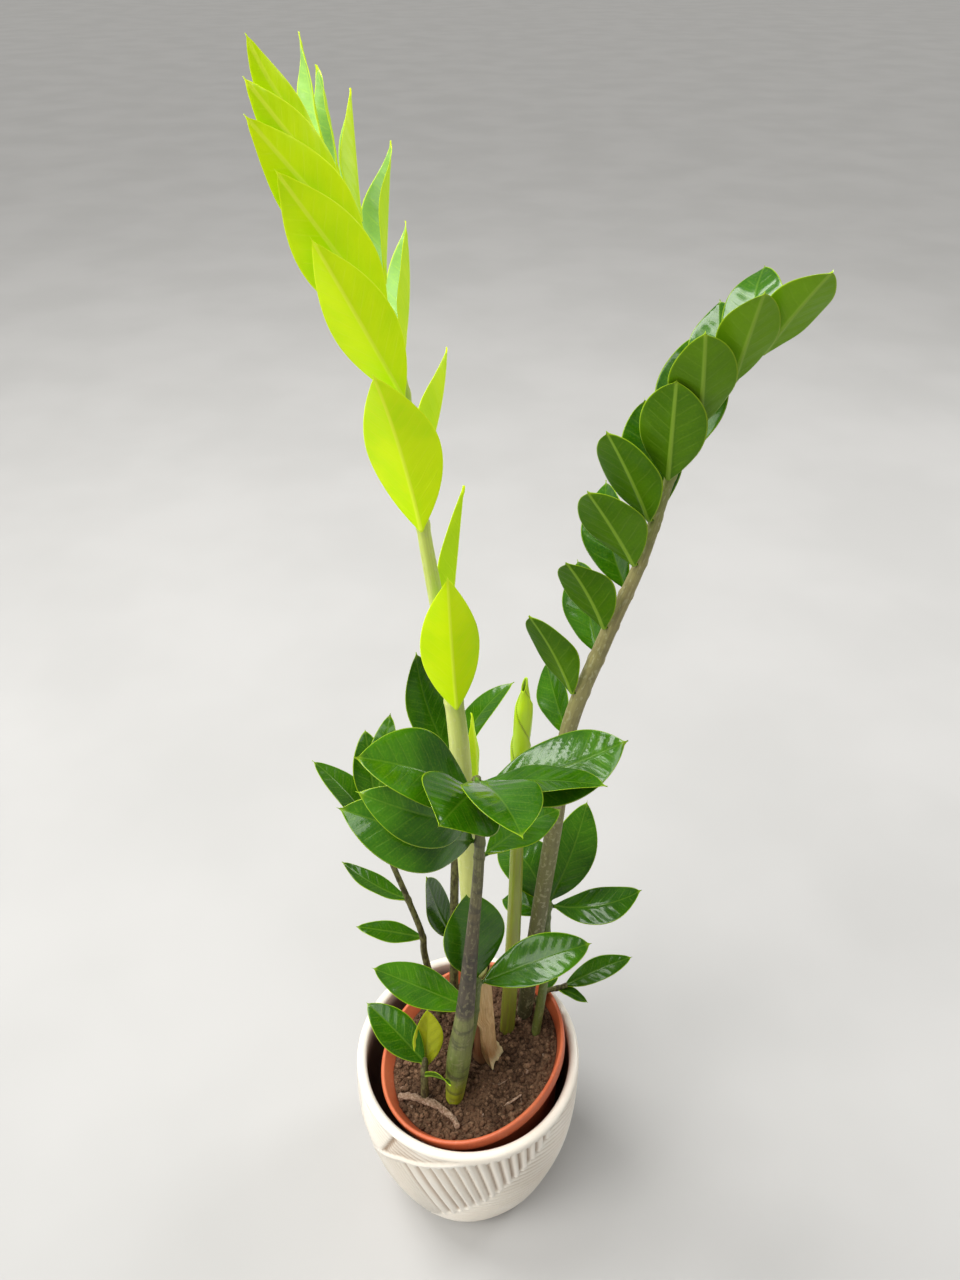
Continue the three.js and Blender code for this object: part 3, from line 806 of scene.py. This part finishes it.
# The mouth is cut askew: the rim of the roll is lower on one side, and the other ends in a point.
mouth = .5 - .5 * np.cos(spear_turn - math.radians(35))
drop = 7 * mouth ** 1.3 * smooth(spear_rows, 384, SPEAR_TOP)[:, None]


def spear_ring(radius, level, row):
    return (
        spear_points[row, :3] + spear_first[row] * (radius * np.cos(spear_turn))[:, None]
        + spear_second[row] * (radius * np.sin(spear_turn))[:, None] - np.outer(level, [0, 0, 1]))


spear_rings = [spear_ring(spear_radius[row], drop[row], row) for row in range(len(spear_rows))]
for inset, sink in MOUTH:
    spear_rings.append(spear_ring(spear_radius[-1] * (1 - inset), drop[-1] + sink, -1))
# Painted shade: the rings inside the mouth are darkened, more the deeper they go, as the shade inside
# the roll.
hollow = np.append(np.zeros(len(spear_rows) + 1), [.2, .7, .9, 1, 1])[:, None]
seam = np.concatenate([
    rolled * (smooth(saw, .94, .985) + 1 - smooth(saw, 0, .035)), np.zeros((len(MOUTH), SPEAR_SIDES))])
spear_reach = np.append(spear_rows, np.full(len(MOUTH), SPEAR_TOP))[:, None]
spear = Skin()
spear.loft(spear_rings, reach=spear_reach, turn=spear_turn[None], seam=seam, hollow=hollow)

spear_paint = Paint("spear_skin", Coat_Weight=.15, Coat_Roughness=.2, Subsurface_Weight=.08,
                    Subsurface_Scale=.002)
spear_height = spear_paint.layer("reach")
spear_wrap = spear_paint.wrap(spear_paint.layer("turn"), 4, spear_height)
spear_streak = spear_paint.noise(spear_paint.stretch(spear_wrap, (1, 1, .06)), .8, 3)
spear_grain = spear_paint.noise(spear_wrap, 2.2, 2)
spear_green = spear_paint.mix(spear_height.step(120, 210), (.17, .17, .025), (.32, .36, .05))
spear_green = spear_paint.mix(spear_height.step(290, 335), spear_green, (.58, .84, .006))
spear_green = spear_paint.mix(spear_streak.step(.35, .75) * .3, spear_green, (.42, .66, .006))
spear_seam = spear_paint.layer("seam").step(.25, .9)
spear_green = spear_paint.mix(spear_seam * .75, spear_green, (.16, .26, .012))
# painted shade inside the mouth of the roll
spear_green = spear_paint.mix(spear_paint.layer("hollow") * .85, spear_green, (.10, .22, .008))
spear_paint.finish(spear_green, .32 + spear_streak * .15, spear_streak + spear_grain * .3, .0003, .5)
spear.build("spear_shoot", spear_paint.material, "young_leaf")
print("spear", len(spear_rings), "rings")

# %% [markdown]
# ## The papery sheath
# The young shoot grew out of a sheath that has dried to a thin torn tube. It is open down its left,
# where its darker inside shows, and its foot spreads in a ragged cream edge. Cloth would be slow and
# would not stay torn, so it is a curved sheet with a real thickness, drawn from one edge of the slit to
# the other. A thin liner stands for the inner layer that shows in the slit.

# %% Sheath
SHEATH_FOOT, SHEATH_TOP, STRIPS, LINER_SIDES = 124.5, 216, 90, 48
SHEATH_FLARE = [
    (SHEATH_FOOT, 4.6), (127, 3.3), (130, 2.2), (134, 1.5), (150, 1.35), (175, 1.3), (200, 1.1),
    (SHEATH_TOP, .9)]
SLIT_AT = math.radians(-122)
sheath_rows = np.concatenate([
    np.linspace(SHEATH_FOOT, 134, 14, endpoint=False), np.linspace(134, SHEATH_TOP, 60)])
sheath_off = np.interp(sheath_rows, *zip(*SHEATH_FLARE)) + .5
sheath_line = np.array([at_height("lime", height)[0] for height in sheath_rows])
slit_half = np.radians(np.interp(
    sheath_rows, [124, 132, 140, 150, 166, 174, SHEATH_TOP], [58, 40, 26, 34, 30, 4, 1.5]))
sheath_rings = []
for share in np.linspace(0, 1, STRIPS):
    turn = SLIT_AT + slit_half + (TURN - 2 * slit_half) * share
    near = np.exp(-((share - np.round(share)) / .035) ** 2)
    fold_out = near * np.interp(sheath_rows, [124, 140, 172, 190], [2.4, .9, .7, .1])
    crinkle = .22 * np.sin(9 * turn + sheath_rows * .06) + .12 * np.sin(23 * turn + sheath_rows * .11)
    foot = (1 - smooth(sheath_rows, SHEATH_FOOT, 131)) * (
        1.1 * np.sin(3 * turn + 1) + .6 * np.sin(11 * turn))
    radius = sheath_line[:, 3] + sheath_off + fold_out + crinkle * .6 + foot
    tear = 1.8 * np.sin(2 * turn + .6) + .9 * np.sin(13 * turn) + .5 * np.sin(31 * turn + 1)
    level = sheath_rows + tear * smooth(sheath_rows, 196, SHEATH_TOP) + .45 * np.sin(
        7 * turn) * (1 - smooth(sheath_rows, SHEATH_FOOT, 129))
    wall = .3 + .35 * (1 - smooth(sheath_rows, SHEATH_FOOT, 132))

    def sheath_side(out):
        return np.stack([
            sheath_line[:, 0] + out * np.cos(turn), sheath_line[:, 1] + out * np.sin(turn), level], -1)

    sheath_rings.append(np.concatenate([sheath_side(radius), sheath_side(radius - wall)[::-1]]))
rows_twice = np.append(sheath_rows, sheath_rows[::-1])
inside = np.append(np.zeros(len(sheath_rows)), np.ones(len(sheath_rows)))
sheath = Skin()
sheath.loft(sheath_rings, reach=rows_twice[None], inside=inside[None],
            turn=np.linspace(0, TURN, STRIPS)[:, None])
liner_rows = np.linspace(122, 196, 40)
liner = np.array([at_height("lime", height)[0] for height in liner_rows])
liner[:, 3] += .45 + .5 * (1 - smooth(liner_rows, 122, 135))
liner_turn = np.arange(LINER_SIDES) / LINER_SIDES * TURN
liner_radius = liner[:, 3:4] + .12 * np.sin(6 * liner_turn + liner_rows[:, None] * .1)
sheath.loft(
    np.stack([liner[:, :1] + liner_radius * np.cos(liner_turn),
              liner[:, 1:2] + liner_radius * np.sin(liner_turn),
              np.repeat(liner_rows[:, None], LINER_SIDES, 1)], -1),
    reach=liner_rows[:, None], inside=1, turn=liner_turn[None])

paper = Paint("papery_sheath", Specular_IOR_Level=.3, Subsurface_Weight=.05, Subsurface_Scale=.001)
paper_height = paper.layer("reach")
paper_wrap = paper.wrap(paper.layer("turn"), 7, paper_height)
fibre = paper.noise(paper.stretch(paper_wrap, (1, 1, .035)), 1.6, 4, .6)
stain = paper.noise(paper.stretch(paper_wrap, (1, 1, .4)), .22, 3)
fleck = paper.noise(paper_wrap, 1.8, 2)
paper_tan = paper.mix(fibre.step(.3, .72), (.56, .34, .13), (.76, .55, .29))
paper_tan = paper.mix(stain.step(.52, .7) * .35, paper_tan, (.30, .13, .045))
paper_tan = paper.mix((1 - paper_height.step(126, 133)) * .9, paper_tan, (.80, .68, .38))
paper_tan = paper.mix(paper.layer("inside").step(.3, .7) * .88, paper_tan, (.15, .045, .016))
paper_tan = paper.mix(fleck.step(.6, .7) * .3, paper_tan, (.22, .10, .04))
paper.finish(paper_tan, .55 + fibre * .2, fibre + fleck * .2, .0004, .8)
sheath.build("lime_sheath", paper.material, "papery_sheath")
print("sheath", len(sheath_rings), "strips")

# %% [markdown]
# ## The nursery pot
# A thin moulded pot with a rolled band at its rim, squeezed slightly oval and leaning in the cachepot.
# A lathed outline gives the wall; fine ribs under the band and a faint waviness keep it from being
# perfect.

# %% Nursery pot
POT_MIDDLE, POT_LEAN = np.array([2.4, -.3, 127.3]), math.radians(12)
POT_OVAL, POT_OVAL_TURN = .038, math.radians(53)
RIM, FOOT, HEIGHT, WALL, BAND, BAND_OUT = 60, 38.4, 92, 1.4, 9, 2.6


def stand_in_pot(points):
    """From the nursery pot's own axes, with 0 at its rim, to where it leans."""
    x, y, z = np.moveaxis(np.asarray(points, float), -1, 0)
    c, s = math.cos(POT_OVAL_TURN), math.sin(POT_OVAL_TURN)
    a, b = (x * c + y * s) * (1 + POT_OVAL), (y * c - x * s) * (1 - POT_OVAL)
    x, y = a * c - b * s, a * s + b * c
    c, s = math.cos(POT_LEAN), math.sin(POT_LEAN)
    return np.stack([x * c - z * s, y, x * s + z * c], -1) + POT_MIDDLE


def pot_radius(z):
    """Outside radius of the wall at a height below the rim."""
    return FOOT + (RIM - BAND_OUT - FOOT) * (1 + z / HEIGHT)


def lathe(outline, around):
    """Rings round the z axis through an outline of (radius, z)."""
    turn = np.arange(around) / around * TURN
    outline = np.asarray(outline, float)
    r, z = outline[:, :1], outline[:, 1:]
    return np.stack([r * np.cos(turn), r * np.sin(turn), z + 0 * turn], -1), turn


def along_outline(corners, step=1.2):
    """More points on the straight parts of an outline."""
    points = []
    for (r0, z0), (r1, z1) in zip(corners, corners[1:]):
        count = max(1, int(math.hypot(r1 - r0, z1 - z0) / step))
        points += [(r0 + (r1 - r0) * k / count, z0 + (z1 - z0) * k / count) for k in range(count)]
    return points + [corners[-1]]


neck, inner_neck = pot_radius(-BAND), pot_radius(-BAND) - WALL
wall = along_outline([
    (.5, -HEIGHT + 1.6), (30, -HEIGHT + 1.6), (31, -HEIGHT), (FOOT - 1.4, -HEIGHT),
    (FOOT - .4, -HEIGHT + .4), (FOOT, -HEIGHT + 1.4), (neck, -BAND - .9), (neck + .25, -BAND - .35),
    (RIM - 1, -BAND - .3),
    (RIM - .65, -BAND), (RIM - .55, -BAND + .8), (RIM - .05, -2.2), (RIM, -1.2), (RIM - .15, -.5),
    (RIM - .6, -.08), (RIM - 1.2, 0), (RIM - 1.9, -.08), (RIM - 2.35, -.5), (RIM - 2.6, -1.2),
    (inner_neck + .3, -BAND + .5), (inner_neck, -BAND), (FOOT - WALL, -HEIGHT + 3),
    (FOOT - 3, -HEIGHT + WALL + 1), (.5, -HEIGHT + WALL + 1)])
rings, turn = lathe(wall, 192)
depth = rings[..., 2]
wobble = .25 * np.sin(2 * turn + .5) + .12 * np.sin(5 * turn + 2)
ribs = .1 * np.cos(TURN * depth / 2.4) * smooth(-depth, 12, 16) * (1 - smooth(-depth, 84, 88))
grow = 1 + (wobble * smooth(depth, -60, 0) + ribs) / np.maximum(
    np.hypot(rings[..., 0], rings[..., 1]), 8)
rings[..., :2] *= grow[..., None]
nursery = Skin()
nursery.loft(stand_in_pot(rings), depth=-depth)

plastic = Paint("terracotta_plastic", Coat_Weight=.06, Coat_Roughness=.3, Specular_IOR_Level=.45)
spot = plastic.place()
clay_cloud = plastic.noise(spot, .03, 3)
scuff = plastic.noise(plastic.stretch(spot, (1, 1, .3)), .35, 4, .65)
pit = plastic.noise(spot, 3, 2)
dust = plastic.noise(spot, .22, 4, .7)
clay = plastic.mix(clay_cloud.step(.3, .7), (.56, .115, .040), (.68, .165, .062))
below_rim = plastic.layer("depth")
# Painted shade: below its rim band the pot is painted darker, as the shade under the band.
clay = plastic.mix(below_rim.step(2, 11) * .5, clay, (.34, .06, .022))
clay = plastic.mix(scuff.step(.56, .72) * .28, clay, (.80, .36, .22))
clay = plastic.mix(dust.step(.6, .72) * .35 * below_rim.step(-1, 4), clay, (.22, .10, .05))
plastic.finish(clay, .38 + scuff * .25, scuff * .6 + pit * .3, .00025, .5)
nursery.build("nursery_pot", plastic.material, "terracotta_plastic")
print("nursery pot", rings.shape[:2])

# %% [markdown]
# ## The soil
# Potting soil is crumbs, not a bumpy disc. A mounded surface carries thousands of small lumps of many
# sizes, some fibres and a pale old root. They are low solids half sunk in the surface, all in one mesh.

# %% Soil
SOIL_TOP, SOIL_DEPTH, MOUND = -9.5, 70, 2.8
soil_edge = pot_radius(SOIL_TOP) - WALL - .15


def mound(r, x, y):
    """Height of the soil in the pot's axes at a radius and place."""
    base = SOIL_TOP + MOUND * (1 - smooth(r / soil_edge, .1, 1.05))
    lumps = np.array([
        2.4 * noise.fractal(Vector((a * .045, b * .045, 3)), .9, 2, 4)
        + 1.3 * noise.noise(Vector((a * .33, b * .33, 7))) for a, b in zip(np.ravel(x), np.ravel(y))])
    return base + lumps.reshape(np.shape(x)) * (1 - .5 * smooth(r / soil_edge, .9, 1))


soil_radii = np.concatenate([[.6], np.linspace(0, 1, 64)[1:] ** .85 * soil_edge])[::-1]
soil_turn = np.arange(176) / 176 * TURN
x, y = soil_radii[:, None] * np.cos(soil_turn), soil_radii[:, None] * np.sin(soil_turn)
crown = np.stack([x, y, mound(soil_radii[:, None] + 0 * x, x, y)], -1)
low = SOIL_TOP - SOIL_DEPTH
sides = np.stack([
    np.stack([r * np.cos(soil_turn), r * np.sin(soil_turn), z + 0 * soil_turn], -1)
    for r, z in ((2, low), (pot_radius(low) - WALL - .6, low), (pot_radius(-40) - WALL - .4, -40),
                 (soil_edge, SOIL_TOP - 4))])
earth = Skin()
earth.loft(stand_in_pot(np.concatenate([sides, crown])), pale=0, shade=.5)

GOLD = (1 + 5 ** .5) / 2
ball = np.array([
    (0, 1, GOLD), (0, -1, GOLD), (0, 1, -GOLD), (0, -1, -GOLD), (1, GOLD, 0), (-1, GOLD, 0),
    (1, -GOLD, 0), (-1, -GOLD, 0), (GOLD, 0, 1), (-GOLD, 0, 1), (GOLD, 0, -1), (-GOLD, 0, -1)])
ball /= np.linalg.norm(ball[0])
ball_faces = [
    trio for trio in combinations(range(len(ball)), 3)
    if max(np.linalg.norm(ball[a] - ball[b]) for a, b in combinations(trio, 2)) < 1.2]
CRUMBS = 3600
crumb_r = soil_edge * np.sqrt(chance.uniform(0, .97, CRUMBS))
crumb_t = chance.uniform(0, TURN, CRUMBS)
cx, cy = crumb_r * np.cos(crumb_t), crumb_r * np.sin(crumb_t)
cz = mound(crumb_r, cx, cy)
size = .5 + 1.9 * chance.uniform(0, 1, CRUMBS) ** 2.4
for k in range(CRUMBS):
    lump = ball * chance.uniform(.72, 1.2, (len(ball), 1)) * chance.uniform(.7, 1.25, 3) * size[k]
    lump = lump + [cx[k], cy[k], cz[k] + size[k] * chance.uniform(-.1, .55)]
    earth.add(stand_in_pot(lump), ball_faces,
              dict(shade=chance.uniform(0, 1), pale=float(chance.uniform() > .985) * .7))


def strand(points, radius, pale, hairs=0):
    """A root or fibre through points that lie on the soil, with a tapering radius."""
    line = np.array([(*point, radius * (1 - .35 * k / len(points))) for k, point in enumerate(points)])
    rod(earth, spline(line, 10), lambda turn, along: radius * (
        .16 * np.sin(3 * turn + along * .5) + .14 * np.sin(5 * turn - along * .9)
        + .12 * np.sin(along * 1.3)), around=14, pale=pale, shade=.6)
    for _ in range(hairs):
        k = chance.randint(0, len(line) - 1)
        start = line[k, :3] + (line[k + 1, :3] - line[k, :3]) * chance.uniform()
        way = unit(chance.normal(size=3) * (1, 1, .35)) * chance.uniform(3, 7)
        hair = [start, start + way * .5 + (0, 0, chance.uniform(-.4, .5)), start + way + (0, 0, -.8)]
        rod(earth, spline(np.array([(*p, .16 - .04 * j) for j, p in enumerate(hair)]), 4), around=6,
            pale=pale * .8, shade=.4)


strand([(-43, -25, 111.6), (-37, -25.5, 113.2), (-31, -27.7, 114.4), (-24, -31, 116),
        (-17, -34.9, 117.1), (-11, -40, 118.3), (-7.5, -43.9, 118.7), (-5, -47.8, 118.2)], 2.1, .8, 26)
strand([(-31, -27.7, 114.8), (-22, -30, 116.6), (-14, -36, 118.4), (-9, -41, 119.2)], 1.1, 1, 8)
strand([(19.9, -38.5, 124.6), (24, -37, 125.9), (28.5, -34.8, 126.6), (33, -32, 127.6)], .75, 1, 5)
strand([(-38, 8, 111.5), (-33, 12, 113.5), (-27, 11, 115.5)], .5, .7, 4)
strand([(14, -22, 122.8), (19, -24, 124), (25, -21, 125)], .4, .6, 3)

peat = Paint("potting_soil", Specular_IOR_Level=.2)
spot = peat.place()
patch = peat.noise(spot, .06, 3)
crumb = peat.noise(spot, .9, 4, .65)
speck = peat.noise(spot, 2.6, 2)
brown = peat.mix(patch.step(.35, .65), (.070, .034, .018), (.150, .078, .042))
brown = peat.mix(peat.layer("shade") ** 2 * .75, brown, (.34, .20, .115))
# Painted shade: near-black patches stand for the shade in the gaps between crumbs.
brown = peat.mix(crumb.step(.48, .66) * .75, brown, (.020, .010, .006))
brown = peat.mix(speck.step(.58, .68) * .55, brown, (.40, .26, .15))
root = peat.mix(crumb.step(.4, .6), (.62, .45, .33), (.34, .21, .13))
brown = peat.mix(peat.layer("pale") * .9, brown, root)
peat.finish(brown, .85 - crumb * .1, crumb + speck * .6, .0012, 1)
earth.build("soil", peat.material, "potting_soil")
print("soil with", CRUMBS, "crumbs")

# %% [markdown]
# ## The cachepot
# A thick cream cachepot, cast with two large feather-like leaves that wrap round it. Each leaf starts
# low, climbs to the rim, and overlaps the other. Above its midrib the ribs are bold and end in rounded
# tips; below it they are fine. A displace modifier would need an image, so the relief is a sum of
# simple functions of angle and height, added to a lathed outline of many points. The glaze is thin on
# the ribs and gathers, darker, in the grooves, and painted shade darkens the grooves further, so the
# relief is also kept as a layer for the finish.


# %% Relief of the carved leaves
def leaf_edge(angle):
    """Height of a leaf's upper edge at an angle in degrees; its tip is at -151."""
    return np.interp(angle, [-160, -156, -151, -144, -137, -125, -116, -107, -100, -92, -83, -40, 20],
                     [-30, 30, 67, 80, 90, 103, 108.5, 115, 119, 122.5, 124.5, 126, 132])


def midrib_height(angle):
    """Height of the midrib at an angle in degrees."""
    return np.interp(angle, [-130, -112, -103, -94, -82, -71, -62, -53, -44, -37, 20],
                     [2, 22, 40, 54, 71, 85, 96, 105, 116, 125, 200])


def relief(angle, height):
    """How far the wall stands out, in mm, at an angle in degrees and a height."""
    here = np.mod(angle + 160, 180) - 160
    edge = leaf_edge(here)
    above = smooth(height - edge, -.7, .7)        # 1 where the other leaf shows
    side = smooth(height - midrib_height(here), -1.2, 1.2)
    down = 115 - height
    slant = here - np.clip(.0063 * (-53 - here), 0, .42) * down
    count = np.interp(
        slant, [-190, -150, -130, -111, -97, -74, -53, 20], [-18, -7.5, -2, 0, 2, 6, 10, 24.6])
    share = np.mod(count, 1) * 2 - 1
    bold = (.5 + .5 * np.cos(np.pi * share)) ** .55
    finger = 1 - smooth(height - (np.minimum(edge, 123.5) - 1.6 - 4.2 * share ** 2), -1.8, .8)
    weight = .85 + .15 * smooth(slant, -140, -112)
    bold_side = 2.7 * weight * (bold * finger - 1 + .95 * (1 - finger))
    flow = (height + .3 * (here + 68) + .00625 * (here + 68) ** 2) / 4.9
    fine = .5 + .5 * np.cos(TURN * flow)
    fine_side = 1.75 * (fine - 1)
    rib = .5 * np.exp(-((height - midrib_height(here)) / 1.5) ** 2)
    front = bold_side * side + fine_side * (1 - side) + rib
    front = front + .7 * np.exp(-np.clip(edge - height, 0, 99) / 9) * (edge < 125)
    other_flow = (height + .30 * (here + 100)) / 4.6
    other = 1.2 * (.5 * np.cos(TURN * other_flow) - .5) - .6 - .6 * np.exp(
        -np.clip(height - edge, 0, 99) / 3)
    past = here + 136 - .3 * (height - 97)        # 0 on the line where the other leaf's tip ends
    notch = 1.3 * np.exp(-((past - .6) / 1.4) ** 2) - .9 * smooth(-past, -.7, .7)
    notch = notch * above * (here < -100)
    wave = .35 * np.sin(np.radians(here * 3)) + .2 * np.sin(np.radians(here * 7) + height / 15)
    out = front * (1 - above) + other * above - notch + wave
    return out * smooth(height, 1, 9) * (1 - smooth(height, 119.5, 123.2))


sample = relief(np.arange(-180, 180, 1.0)[:, None], np.arange(5, 124, 1.0))
print("relief from", round(float(sample.min()), 2), "mm")

# %% Cachepot
POT_WALL, LIP, LIP_RISE, AROUND = 6.3, 3.15, 3, 500
MOUTH_RADIUS, SHOULDER = 70.6, 122      # where the wall ends and the rounded lip starts
OUTSIDE = [
    (50, 0), (54.5, 6), (61.5, 25), (68, 52), (71.3, 84), (71.2, 108), (MOUTH_RADIUS, SHOULDER)]
outline_line = spline([(r, z, 0, 0) for r, z in OUTSIDE], 40)[:, :2]
heights = np.linspace(1.2, SHOULDER, 152)
outer = np.stack([np.interp(heights, outline_line[:, 1], outline_line[:, 0]), heights], -1)
lip_turn = np.linspace(0, math.pi, 15)[1:-1]
lip = np.stack([
    MOUTH_RADIUS - LIP + LIP * np.cos(lip_turn), SHOULDER + LIP_RISE * np.sin(lip_turn)], -1)
inner_heights = np.linspace(SHOULDER, 12, 20)
inner = np.stack([
    np.interp(inner_heights, outline_line[:, 1], outline_line[:, 0]) - POT_WALL, inner_heights], -1)
foot_ring = [
    (.6, 1.8), (24, 1.8), (40, 1.8), (42.5, 1.5), (43.6, .5), (44.4, 0), (47.6, 0), (49.4, .35)]
floor_inside = [(49.5, 9.2), (47.5, 8.2), (46, 8), (30, 8), (.6, 8)]
outline = np.vstack([foot_ring, outer, lip, inner, floor_inside])
rings, turn = lathe(outline, AROUND)
angle = np.degrees(turn)[None] + 0 * rings[..., 0]
angle = np.mod(angle + 180, 360) - 180
carved = np.zeros(rings.shape[:2])
outside = slice(len(foot_ring), len(foot_ring) + len(outer))
carved[outside] = relief(angle[outside], rings[outside, :, 2])
radius = np.hypot(rings[..., 0], rings[..., 1])
hand = .35 * np.sin(2 * turn + 1)[None] * smooth(rings[..., 2], 20, 100)
rings[..., :2] *= (1 + (carved + hand) / np.maximum(radius, 20))[..., None]
rings[..., 2] += .35 * np.sin(3 * turn + .4)[None] * smooth(rings[..., 2], 100, 124)
# Painted shade: the inside wall below the lip is painted dark brown, darker further down, as the shade
# inside the pot.
hidden = np.zeros(len(outline))
hidden[outside.stop + len(lip):] = 1
cachepot = Skin()
cachepot.loft(rings, carved=carved, level=rings[..., 2],
              hidden=hidden[:, None] * smooth(119.5 - outline[:, 1:], 0, 7))

glaze = Paint("cream_glaze", Coat_Weight=.35, Coat_Roughness=.16, Specular_IOR_Level=.45)
spot = glaze.place()
carving = glaze.layer("carved")
glaze_cloud = glaze.noise(spot, .035, 3)
speckle = glaze.noise(spot, 1.3, 3, .6)
pinhole = glaze.noise(spot, 2.8, 2)
level = glaze.layer("level")
# The grooves are darkened partly by glaze that pools in them and partly by painted shade.
groove = (1 - carving.step(-2.6, -.4)) * (1 - level.step(118, 123))
cream = glaze.mix(glaze_cloud.step(.3, .7), (.94, .885, .79), (.89, .82, .71))
cream = glaze.mix(groove * .9, cream, (.42, .29, .19))
cream = glaze.mix(carving.step(.1, .9) * .5, cream, (.90, .87, .80))
cream = glaze.mix((1 - level.step(1, 12)) * .45, cream, (.55, .45, .34))
cream = glaze.mix(speckle.step(.62, .72) * .3, cream, (.62, .52, .40))
cream = glaze.mix(pinhole.step(.68, .74) * .25, cream, (.45, .35, .25))
# painted shade inside the pot
cream = glaze.mix(glaze.layer("hidden") * .9, cream, (.17, .085, .055))
glaze.finish(cream, .34 + speckle * .12, speckle * .5 + pinhole * .3, .0003, .4)
cachepot.build("cachepot", glaze.material, "cream_glaze")
print("cachepot", rings.shape[:2])
